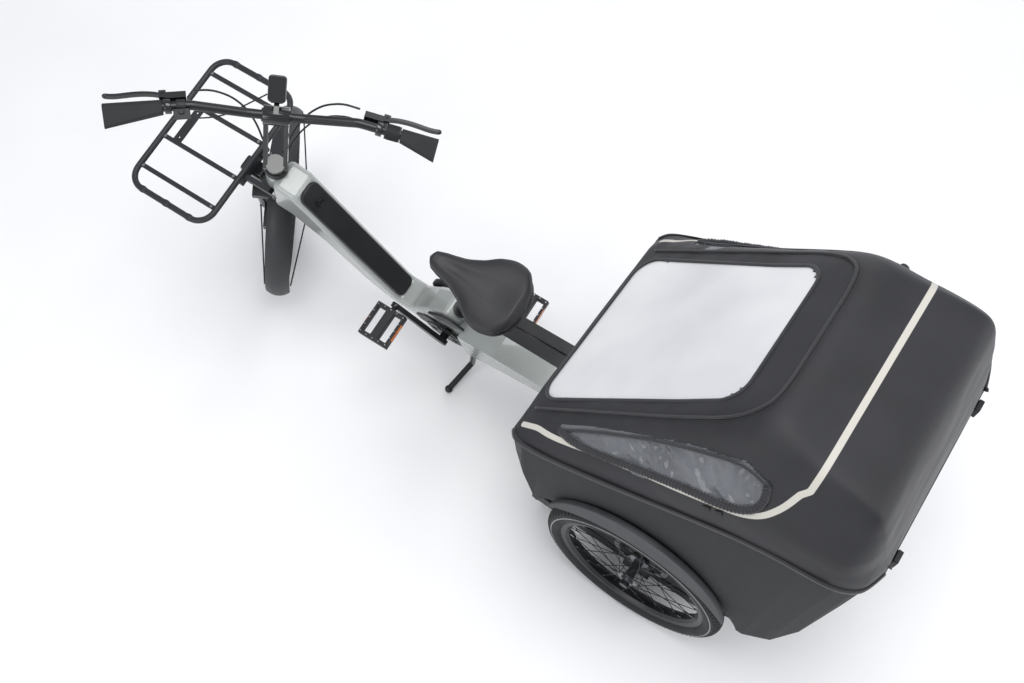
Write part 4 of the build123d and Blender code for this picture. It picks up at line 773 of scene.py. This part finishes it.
def strip_mesh(name, places, width, height, matrix, closed=False, gather=0.0, pitch=0.008):
    """A domed strip along places, each a point and a normal; gather puckers it like elastic."""
    vertices, faces = [], []
    count = len(places)
    for i, (spot, normal) in enumerate(places):
        before = places[(i - 1) % count if closed else max(i - 1, 0)][0]
        after = places[(i + 1) % count if closed else min(i + 1, count - 1)][0]
        side = (after - before).normalized().cross(normal).normalized()
        swell = 1.0
        if gather:
            swell = 1 + gather * sin(2 * pi * i * (places[1][0] - places[0][0]).length / pitch) \
                + gather * noise.noise(spot * 60)
        vertices += [spot + side * a * width * (0.8 + 0.2 * swell) + normal * b * height * swell
                     for a, b in DOMED]
    ring = len(DOMED)
    for i in range(count if closed else count - 1):
        a, b = i * ring, ((i + 1) % count) * ring
        faces += [(a + k, b + k, b + (k + 1) % ring, a + (k + 1) % ring) for k in range(ring)]
    if not closed:
        faces += [tuple(range(ring)), tuple((count - 1) * ring + k for k in reversed(range(ring)))]
    mesh = bpy.data.meshes.new(name)
    mesh.from_pydata(vertices, [], faces)
    outward_faces(mesh)
    mesh.transform(matrix)
    return mesh


def outward_faces(mesh):
    """Turns every face of closed shells outwards."""
    bm = bmesh.new()
    bm.from_mesh(mesh)
    bmesh.ops.recalc_face_normals(bm, faces=bm.faces)
    bm.to_mesh(mesh)
    bm.free()


def from_slope(along, across):
    """The point of the sloping front at a distance up the slope and sideways."""
    spot = SLOPE_FOOT + slope_run * (along / SLOPE_LENGTH)
    return Vector((spot.x, across, spot.y))


def rounded_corners(corners, radius, steps=8):
    """A closed outline with each corner replaced by an arc of radius."""
    out = []
    points = [Vector(c) for c in corners]
    for a, b, c in zip(points[-1:] + points[:-1], points, points[1:] + points[:1]):
        back, on = (a - b).normalized(), (c - b).normalized()
        half = back.angle(on) / 2
        centre = b + (back + on).normalized() * (radius / sin(half))
        start = b + back * (radius / abs(sin(half) / cos(half))) - centre
        finish = b + on * (radius / abs(sin(half) / cos(half))) - centre
        for i in range(steps + 1):
            mixed = start.lerp(finish, i / steps)
            out.append(centre + mixed.normalized() * radius)
    return out


mirror_y = Vector((1, -1, 1))


def add_strip(name, line, width, height, finish, closed=False, gather=0.0, step=0.006, lift=-0.001,
              surface=skin):
    """A strip on the cover, along a line given near it."""
    places = on_skin(resampled(line, step, closed), surface, lift)
    mesh = strip_mesh(name, places, width, height, BOX, closed, gather)
    piece = add_piece(name, mesh, finish, "carriage")
    return places


FINISHES["binding"] = grained("binding", "#1c1c20", "#26262b", 0.0011, 0.0003, (0.55, 0.7), Sheen_Weight=0.2)
binding_line = [from_slope(p.x, p.y) for p in rounded_corners(
    [(a + (-0.004 if a < 0.2 else 0.004), b * 1.018) for a, b in SCREEN], 0.056)]
add_strip("screen_binding", binding_line, 0.009, 0.0022, "binding", closed=True)
PANEL_SEAM = [(0.378, 0.268, 0.642), (0.261, 0.258, 0.761), (0.152, 0.249, 0.874), (0.053, 0.240, 0.978),
              (-0.024, 0.229, 1.060), (-0.067, 0.197, 1.102), (-0.080, 0.149, 1.111), (-0.080, 0.0, 1.111)]
half_seam = [Vector(p) for p in PANEL_SEAM]
seam_line = eased(half_seam + [p * mirror_y for p in half_seam[-2::-1]], 2)
add_strip("panel_seam", seam_line, 0.0060, 0.0030, "binding", lift=0.0)
for side, word in ((1, "left"), (-1, "right")):
    hem_line = [from_side(p, side) for p in eased(WINDOW[:8], 2)]
    top_line = [from_side(p, side) for p in eased(WINDOW[7:] + WINDOW[:1], 2)]
    add_strip("window_hem_" + word, hem_line, 0.017, 0.0058, "binding", gather=0.34, step=0.0022)
    add_strip("window_top_" + word, top_line, 0.007, 0.0018, "binding")
    rim_line = [Vector((section[0], side * section[3][0], section[1] + 0.006)) for section in COVER_SECTIONS]
    add_strip("rim_hem_" + word, eased(rim_line, 2), 0.012, 0.0030, "binding", lift=-0.0005)

# %% [markdown]
# ## Small things that repeat
# Tread blocks, nipples, stitches, zip teeth and screws are all one small solid repeated at many
# places. A node group does the repeating: it reads each place's own directions, turns a copy of the
# solid to them, gives it its size, and turns everything into real mesh.

# %% A node group that repeats a solid
def repeat_tree(kind):
    """A node group that puts one unit solid on every point, turned, sized and finished."""
    tree = bpy.data.node_groups.new("repeat_" + kind, "GeometryNodeTree")
    tree.interface.new_socket("Places", in_out="INPUT", socket_type="NodeSocketGeometry")
    tree.interface.new_socket("Size", in_out="INPUT", socket_type="NodeSocketVector")
    tree.interface.new_socket("Finish", in_out="INPUT", socket_type="NodeSocketMaterial")
    tree.interface.new_socket("Solids", in_out="OUTPUT", socket_type="NodeSocketGeometry")
    given = tree.nodes.new("NodeGroupInput").outputs
    if kind == "block":
        solid = shader_node(tree, "GeometryNodeMeshCube")
    elif kind == "pin":
        solid = shader_node(tree, "GeometryNodeMeshCylinder", {"Vertices": 12, "Radius": 0.5, "Depth": 1.0})
    else:
        solid = shader_node(tree, "GeometryNodeMeshIcoSphere", {"Radius": 0.5, "Subdivisions": 2})
    up = shader_node(tree, "GeometryNodeInputNamedAttribute", {"Name": "up"}, data_type="FLOAT_VECTOR")
    along = shader_node(tree, "GeometryNodeInputNamedAttribute", {"Name": "along"}, data_type="FLOAT_VECTOR")
    stood = shader_node(tree, "FunctionNodeAlignRotationToVector", {"Vector": up.outputs["Attribute"]},
                        axis="Z")
    turned = shader_node(
        tree, "FunctionNodeAlignRotationToVector",
        {"Rotation": stood.outputs["Rotation"], "Vector": along.outputs["Attribute"]}, axis="X",
        pivot_axis="Z")
    copies = shader_node(tree, "GeometryNodeInstanceOnPoints", {
        "Points": given["Places"], "Instance": solid.outputs["Mesh"], "Rotation": turned.outputs["Rotation"],
        "Scale": given["Size"]})
    real = shader_node(tree, "GeometryNodeRealizeInstances", {"Geometry": copies.outputs["Instances"]})
    shade = shader_node(tree, "GeometryNodeSetShadeSmooth",
                        {"Geometry": real.outputs["Geometry"], "Shade Smooth": kind == "bead"})
    finish = shader_node(tree, "GeometryNodeSetMaterial", {
        "Geometry": shade.outputs["Geometry"], "Material": given["Finish"]})
    out = tree.nodes.new("NodeGroupOutput")
    tree.links.new(finish.outputs["Geometry"], out.inputs["Solids"])
    return tree


TREES = {kind: repeat_tree(kind) for kind in ("block", "pin", "bead")}


def repeated(name, kind, size, finish, body, places):
    """The same small solid at every place, given as its point, its up and its along direction."""
    mesh = bpy.data.meshes.new(name)
    mesh.from_pydata([place[0] for place in places], [], [])
    for layer, part in (("up", 1), ("along", 2)):
        stored = mesh.attributes.new(layer, "FLOAT_VECTOR", "POINT")
        stored.data.foreach_set("vector", [c for place in places for c in place[part]])
    piece = bpy.data.objects.new(name, mesh)
    bpy.context.scene.collection.objects.link(piece)
    modifier = piece.modifiers.new("repeat", "NODES")
    modifier.node_group = TREES[kind]
    inputs = [item for item in TREES[kind].interface.items_tree if item.in_out == "INPUT"]
    sockets = {item.name: item.identifier for item in inputs}
    modifier[sockets["Size"]] = size
    modifier[sockets["Finish"]] = FINISHES[finish]
    plain = bpy.data.meshes.new_from_object(piece.evaluated_get(bpy.context.evaluated_depsgraph_get()))
    piece.modifiers.clear()
    piece.data = plain
    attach(piece, body)
    return piece


def carried(matrix, places):
    """Places moved by a matrix, their directions turned with it."""
    turn = matrix.to_3x3()
    return [(matrix @ Vector(p), turn @ Vector(u), turn @ Vector(a)) for p, u, a in places]


def spaced(places, step):
    """Places a fixed step apart along a line of (point, normal), each knowing which way the line runs."""
    out, gone = [], 0.0
    for (p, n), (q, _) in zip(places, places[1:]):
        gone += (q - p).length
        if gone >= step:
            gone = 0.0
            out.append((p, n, (q - p).normalized()))
    return out


# %% [markdown]
# ## Wheels
# The measured tyre, rim and spokes stay. Tread blocks in five staggered rows, a thin reflective
# stripe on each sidewall, a nipple at every spoke end and a valve complete them.

# %% Tyres, stripes and nipples
TYRE_MIDDLE, TYRE_HALF_DEPTH, TYRE_HALF_WIDTH = 0.229, 0.026, 0.027
RIM_INSIDE, FLANGE_HOLE, FLANGE_OUT = 0.190, 0.027, 0.028
FINISHES["stripe"] = grained("stripe", "#8d8f92", "#7c7e81", 0.0008, 0.00002, (0.3, 0.4))
WHEELS = {
    "front": (STEERING @ Matrix.Translation((FORK_OFFSET, 0, 0)), "front_wheel"),
    "rear_left": (BOX @ Matrix.Translation((0, 0.343, WHEEL_RADIUS)), "rear_wheel_left"),
    "rear_right": (BOX @ Matrix.Translation((0, -0.343, WHEEL_RADIUS)), "rear_wheel_right"),
}


def on_tyre(turn, tilt):
    """A place on the tyre: turn round the wheel, tilt from the crown towards the sidewall."""
    outward = Vector((cos(turn), 0, sin(turn)))
    side = Vector((0, 1, 0))
    point = outward * (TYRE_MIDDLE + TYRE_HALF_DEPTH * cos(tilt)) + side * TYRE_HALF_WIDTH * sin(tilt)
    up = (outward * cos(tilt) / TYRE_HALF_DEPTH + side * sin(tilt) / TYRE_HALF_WIDTH).normalized()
    return point, up, Vector((-sin(turn), 0, cos(turn)))


ROWS = ((0.0, 92, 0.0), (0.42, 92, 0.5), (-0.42, 92, 0.5), (0.82, 92, 0.0), (-0.82, 92, 0.0))
for word, (matrix, body) in WHEELS.items():
    blocks = []
    for tilt, count, shift in ROWS:
        for i in range(count):
            point, up, along = on_tyre(2 * pi * (i + shift) / count, tilt)
            skewed = along + up.cross(along) * (0.35 if tilt > 0 else -0.35 if tilt < 0 else 0.0)
            blocks.append((point, up, skewed.normalized()))
    repeated(word + "_tread", "block", (0.0105, 0.0078, 0.0022), "tyre_rubber", body, carried(matrix, blocks))
    for side in (1, -1):
        ring = [on_tyre(2 * pi * i / 160, side * 1.32) for i in range(160)]
        mesh = strip_mesh(f"{word}_stripe", [(p, u) for p, u, _ in ring], 0.0030, 0.0004, matrix, closed=True)
        add_piece(f"{word}_stripe_{'left' if side > 0 else 'right'}", mesh, "stripe", body)
    nipples = []
    for side in (1, -1):
        for i in range(18):
            lead = 1 if i % 2 else -1
            at_hub = radians(20 * i + (10 if side > 0 else 0))
            at_rim = at_hub - radians(60) * lead
            start = Vector((FLANGE_HOLE * cos(at_hub), side * FLANGE_OUT, FLANGE_HOLE * sin(at_hub)))
            end = Vector((RIM_INSIDE * cos(at_rim), side * 0.004, RIM_INSIDE * sin(at_rim)))
            nipples.append((end.lerp(start, 0.035), (start - end).normalized(), (0, 1, 0)))
    repeated(word + "_nipples", "pin", (0.0042, 0.0042, 0.012), "hub_steel", body, carried(matrix, nipples))
    repeated(word + "_valve", "pin", (0.006, 0.006, 0.030), "zinc", body,
             carried(matrix, [(Vector((0.178, 0, 0)), (1, 0, 0), (0, 1, 0))]))
print("wheels finished", len(WHEELS))

# %% [markdown]
# ## Stitches and teeth
# Seams are sewn at about three millimetres a stitch, and the rim closes with a coarse zip.

# %% Stitches on the cover
FINISHES["thread"] = grained("thread", "#2b2b2f", "#38383c", 0.0004, 0.0001, (0.6, 0.7))
sewn = spaced(on_skin(resampled(binding_line, 0.0015, True), skin, 0.0014), 0.0045)
for side in (1, -1):
    beside = [p + Vector((-0.010, side * 0.004, 0)) for p in seam_line]
    sewn += spaced(on_skin(resampled(beside, 0.0015), skin, 0.0004), 0.0045)
repeated("cover_stitches", "bead", (0.0032, 0.0009, 0.0009), "thread", "carriage", carried(BOX, sewn))
teeth = []
for side in (1, -1):
    rim_line = [Vector((section[0], side * section[3][0],
                        section[1] + 0.013)) for section in COVER_SECTIONS[1:7]]
    teeth += spaced(on_skin(resampled(eased(rim_line, 2), 0.001), skin, 0.0008), 0.0035)
repeated("rim_zip", "block", (0.0018, 0.0055, 0.0016), "moulded_black", "carriage", carried(BOX, teeth))
print("stitches", len(sewn), "teeth", len(teeth))

# %% [markdown]
# ## Soft edges
# Moulded and cast pieces never have knife edges. A copy of a measured piece is merged, its flat
# faces joined again, and its sharp edges rounded a little, which is what catches the light.

# %% Rounded copies of moulded pieces
EDGE_WIDTHS = {
    "cargo_tub": 0.007, "arch_trims": 0.003, "corner_guards": 0.006, "battery": 0.0015, "spine_covers": 0.002,
    "display": 0.0012, "headlight": 0.0015, "stem": 0.0012, "brake_bodies": 0.0016, "control_pod": 0.0015,
    "front_rack": 0.0012, "motor_cover": 0.0015, "seatpost": 0.0012, "crankset": 0.0015,
    "hem_buckles": 0.0012,
    "frame_insert": 0.0015, "headset_cover": 0.0012, "pedal_left": 0.0015, "pedal_right": 0.0015,
}
rounded = {}
for node_name, width in EDGE_WIDTHS.items():
    source = nodes[node_name]
    copy = source.data.copy()
    copy.name = node_name + "_rounded"
    copy.transform(source.matrix_world)
    bm = bmesh.new()
    bm.from_mesh(copy)
    bmesh.ops.remove_doubles(bm, verts=bm.verts, dist=0.00001)
    bmesh.ops.dissolve_limit(bm, angle_limit=radians(0.6), verts=bm.verts, edges=bm.edges)
    bm.to_mesh(copy)
    bm.free()
    piece = bpy.data.objects.new(node_name + "_rounded", copy)
    bpy.context.scene.collection.objects.link(piece)
    softener = piece.modifiers.new("edges", "BEVEL")
    softener.width = width
    softener.segments = 2 if width < 0.003 else 3
    softener.limit_method = "ANGLE"
    softener.angle_limit = radians(28)
    softener.harden_normals = True
    softener.use_clamp_overlap = True
    plain = bpy.data.meshes.new_from_object(piece.evaluated_get(bpy.context.evaluated_depsgraph_get()))
    piece.modifiers.clear()
    piece.data = plain
    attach(piece, body_of(source)[0])
    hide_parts(node_name)
    rounded[node_name] = piece
print("rounded", len(rounded), "faces", sum(len(p.data.polygons) for p in rounded.values()))

# %% [markdown]
# ## Saddle
# A comfort saddle in one skin: wide padded wings, a nose, a shallow relief channel down the middle
# and a seam round its lower edge.

# %% Saddle
SADDLE_LINE = [(0.0, 0.004), (0.012, 0.052), (0.040, 0.086), (0.075, 0.093), (0.110, 0.083), (0.150, 0.055),
               (0.185, 0.038), (0.225, 0.028), (0.250, 0.019), (0.262, 0.003)]
SADDLE_TAIL, SADDLE_LENGTH = 0.502, 0.262
SADDLE_EDGE, SADDLE_CROWN, SADDLE_SKIRT = 0.815, 0.027, 0.013
CHANNEL_DEPTH, CHANNEL_WIDTH = 0.0055, 0.009


def saddle_half(t):
    """Half width of the saddle at a distance from its tail."""
    rows = [[Vector((a, b))] for a, b in SADDLE_LINE]
    for i in range(len(rows) - 1):
        if rows[i][0].x <= t <= rows[i + 1][0].x:
            share = (t - rows[i][0].x) / (rows[i + 1][0].x - rows[i][0].x)
            return smooth_between(rows, i + share)[0].y
    return SADDLE_LINE[-1][1]


saddle_vertices, saddle_faces = [], []
RINGS, ROUND = 70, 56
for i in range(RINGS + 1):
    t = SADDLE_LENGTH * (0.5 - 0.5 * cos(pi * i / RINGS))
    half = max(saddle_half(t), 0.002)
    rise = 0.006 * max(0.0, 1 - t / 0.07) ** 2 + 0.004 * (t / SADDLE_LENGTH) ** 3 - 0.003
    end = min(1.0, (t + 0.001) / 0.02, (0.263 - t) / 0.014) ** 0.5
    for j in range(ROUND):
        angle = 2 * pi * j / ROUND
        across = half * (abs(cos(angle)) ** 0.62) * (1 if cos(angle) >= 0 else -1)
        lift = abs(sin(angle)) ** (0.62 if sin(angle) > 0 else 0.45)
        top, foot = SADDLE_EDGE + (SADDLE_CROWN + rise) * lift * end, SADDLE_EDGE - SADDLE_SKIRT * lift * end
        height = top if sin(angle) >= 0 else foot
        along_channel = max(0.0, min(1.0, (t - 0.03) / 0.05, (0.235 - t) / 0.05))
        channel = CHANNEL_DEPTH * 2.718 ** (-(across / CHANNEL_WIDTH) ** 2) * along_channel
        height -= channel if sin(angle) > 0.2 else 0.0
        saddle_vertices.append((SADDLE_TAIL + t, across, height))
for i in range(RINGS):
    for j in range(ROUND):
        k = (j + 1) % ROUND
        saddle_faces.append((i * ROUND + j, i * ROUND + k, (i + 1) * ROUND + k, (i + 1) * ROUND + j))
saddle_faces += [tuple(range(ROUND)), tuple(RINGS * ROUND + j for j in range(ROUND))]
saddle_mesh = bpy.data.meshes.new("saddle_pad")
saddle_mesh.from_pydata(saddle_vertices, [], saddle_faces)
outward_faces(saddle_mesh)
saddle_mesh.transform(LEANING)
saddle = add_piece("saddle_pad", saddle_mesh, "saddle_skin", "seat")
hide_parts("saddle_cushion")
outline = [Vector((SADDLE_TAIL + t, side * (saddle_half(t) + 0.0008), 0.815))
           for side, order in ((1, 1), (-1, -1)) for t in [0.262 * k / 60 for k in range(61)][::order]]
around = [(p, Vector((0, 1 if p.y > 0 else -1, 0.15)).normalized()) for p in resampled(outline, 0.004, True)]
piping = strip_mesh("saddle_piping", around, 0.0032, 0.0014, LEANING, closed=True)
add_piece("saddle_piping", piping, "binding", "seat")
print("saddle", len(saddle_vertices))

# %% [markdown]
# ## Cushions under the cover
# Each cushion is sewn as a closed bag and blown up by a short cloth simulation, so its faces swell
# and its edges pucker as foam in a cover does.

# %% Stuffed cushions
def stuffed(name, node):
    """A cushion in the place of a measured one, inflated from a slightly smaller bag."""
    low, high = (Vector(c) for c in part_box(node))
    low, high = low + Vector((0.004, 0.004, 0.0005)), high - Vector((0.004, 0.004, 0.007))
    bm = bmesh.new()
    bmesh.ops.create_cube(bm, size=1)
    bmesh.ops.scale(bm, vec=high - low, verts=bm.verts)
    bmesh.ops.translate(bm, vec=(high + low) / 2, verts=bm.verts)
    bmesh.ops.bevel(bm, geom=bm.edges, offset=0.010, segments=2, affect="EDGES")
    mesh = bpy.data.meshes.new(name)
    bm.to_mesh(mesh)
    bm.free()
    piece = bpy.data.objects.new(name, mesh)
    bpy.context.scene.collection.objects.link(piece)
    voxels = piece.modifiers.new("even", "REMESH")
    voxels.mode = "VOXEL"
    voxels.voxel_size = 0.006
    evened = bpy.data.meshes.new_from_object(piece.evaluated_get(bpy.context.evaluated_depsgraph_get()))
    piece.modifiers.clear()
    piece.data = evened
    cloth = piece.modifiers.new("blow", "CLOTH")
    cloth.settings.quality = 4
    cloth.settings.mass = 0.3
    cloth.settings.tension_stiffness = 18
    cloth.settings.compression_stiffness = 18
    cloth.settings.bending_stiffness = 0.6
    cloth.settings.use_pressure = True
    cloth.settings.uniform_pressure_force = 4.0
    cloth.settings.effector_weights.gravity = 0.0
    cloth.point_cache.frame_start, cloth.point_cache.frame_end = 1, 20
    for frame_number in range(1, 21):
        bpy.context.scene.frame_set(frame_number)
    blown = bpy.data.meshes.new_from_object(piece.evaluated_get(bpy.context.evaluated_depsgraph_get()))
    piece.modifiers.clear()
    piece.data = blown
    bpy.context.scene.frame_set(1)
    swollen_low, swollen_high = (Vector(c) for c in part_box(node))
    for v in blown.vertices:
        v.co = [max(a, min(b, c)) for a, b, c in zip(swollen_low, swollen_high, v.co)]
    piece.data.materials.clear()
    piece.data.materials.append(FINISHES["cushion_cloth"])
    piece.data.polygons.foreach_set("use_smooth", [True] * len(piece.data.polygons))
    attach(piece, "carriage")
    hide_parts(node)
    return piece


bench = stuffed("bench_pad", "bench_cushion")
back = stuffed("back_pad", "back_cushion")
print("cushions", len(bench.data.polygons), len(back.data.polygons))

# %% [markdown]
# ## Controls, pedals and screws
# Small parts close the gap between a mechanism and a product: ribs on the shifter, screws where
# pieces are clamped, pins and reflectors on the pedals.

# %% Shifter collar and ribs
shift_axis = Vector(joints["shift_twist"]["axis"]).normalized()
shift_spot = Vector(joints["shift_twist"]["pos_m"])
for offset, radius, thick in ((-0.017, 0.0188, 0.002), (0.017, 0.0188, 0.002)):
    repeated(f"shifter_collar_{'inner' if offset > 0 else 'outer'}", "pin", (radius * 2, radius * 2, thick),
             "satin_black",
             "shifter", [(shift_spot + shift_axis * offset, shift_axis, Vector((0, 0, 1)))])
RIBS = 24
ribs = []
side_way = shift_axis.cross(Vector((0, 0, 1))).normalized()
lift_way = side_way.cross(shift_axis).normalized()
for i in range(RIBS):
    angle = 2 * pi * i / RIBS
    out = side_way * cos(angle) + lift_way * sin(angle)
    ribs.append((shift_spot + out * 0.0180, out, shift_axis))
repeated("shifter_ribs", "block", (0.028, 0.0022, 0.0018), "grip_rubber", "shifter", ribs)
print("shifter ribs", len(ribs))

# %% Pedals
PEDAL_OUT, PEDAL_HALF, PEDAL_PIN = 0.1443, 0.0462, 0.0125
PEDALS = {"pedal_left": (Vector((0.9173, 0, 0.4015)), 1, "left_pedal"),
          "pedal_right": (Vector((0.6607, 0, 0.1785)), -1, "right_pedal")}
for word, (centre, side, body) in PEDALS.items():
    middle = centre + Vector((0, side * PEDAL_OUT, 0))
    lenses = [(middle + Vector((x, 0, 0)), (1, 0, 0), (0, 1, 0)) for x in (-PEDAL_HALF, PEDAL_HALF)]
    repeated(word + "_reflector", "block", (0.052, 0.014, 0.003), "amber_lens", body,
             carried(LEANING, lenses))
    pins = []
    for z in (-PEDAL_PIN, PEDAL_PIN):
        for x in (-0.041, 0.041):
            for k in range(5):
                pins.append((middle + Vector((x, (k - 2) * 0.022, z)), (0, 0, 1), (0, 1, 0)))
        for y in (-0.046, 0.046):
            for x in (-0.020, 0.0, 0.020):
                pins.append((middle + Vector((x, y, z)), (0, 0, 1), (0, 1, 0)))
    repeated(word + "_pins", "pin", (0.004, 0.004, 0.004), "zinc", body, carried(LEANING, pins))
print("pedals", len(PEDALS))

# %% Screws, slat ends and clips
RACK_Z, RACK_REAR, RACK_FRONT = 0.698, 1.356, 1.612
screws = []
for y in (-0.152, -0.056, 0.056, 0.152):
    for x in (RACK_REAR + 0.014, RACK_FRONT - 0.014):
        screws.append(((x, y, RACK_Z + 0.0045), (0, 0, 1), (1, 0, 0)))
repeated("rack_screws", "pin", (0.0085, 0.0085, 0.003), "zinc", "main_frame", carried(LEANING, screws))
bumps = [((x, side * 0.206, RACK_Z + 0.0015), (0, 0, 1),
          (1, 0, 0)) for side in (1, -1) for x in (1.405, 1.482, 1.560)]
repeated("rack_bumps", "bead", (0.034, 0.0195, 0.017), "rack_grey", "main_frame", carried(LEANING, bumps))
clips = []
for side in (1, -1):
    for x, z in ((-0.075, 0.902), (-0.100, 0.915)):
        spot, normal, _, _ = skin.find_nearest(from_side((x, z), side))
        clips.append((spot + normal * 0.003, normal, Vector((-0.86, 0, 0.51))))
repeated("band_clips", "block", (0.016, 0.008, 0.005), "moulded_black", "carriage", carried(BOX, clips))
print("screws", len(screws) + len(bumps) + len(clips))
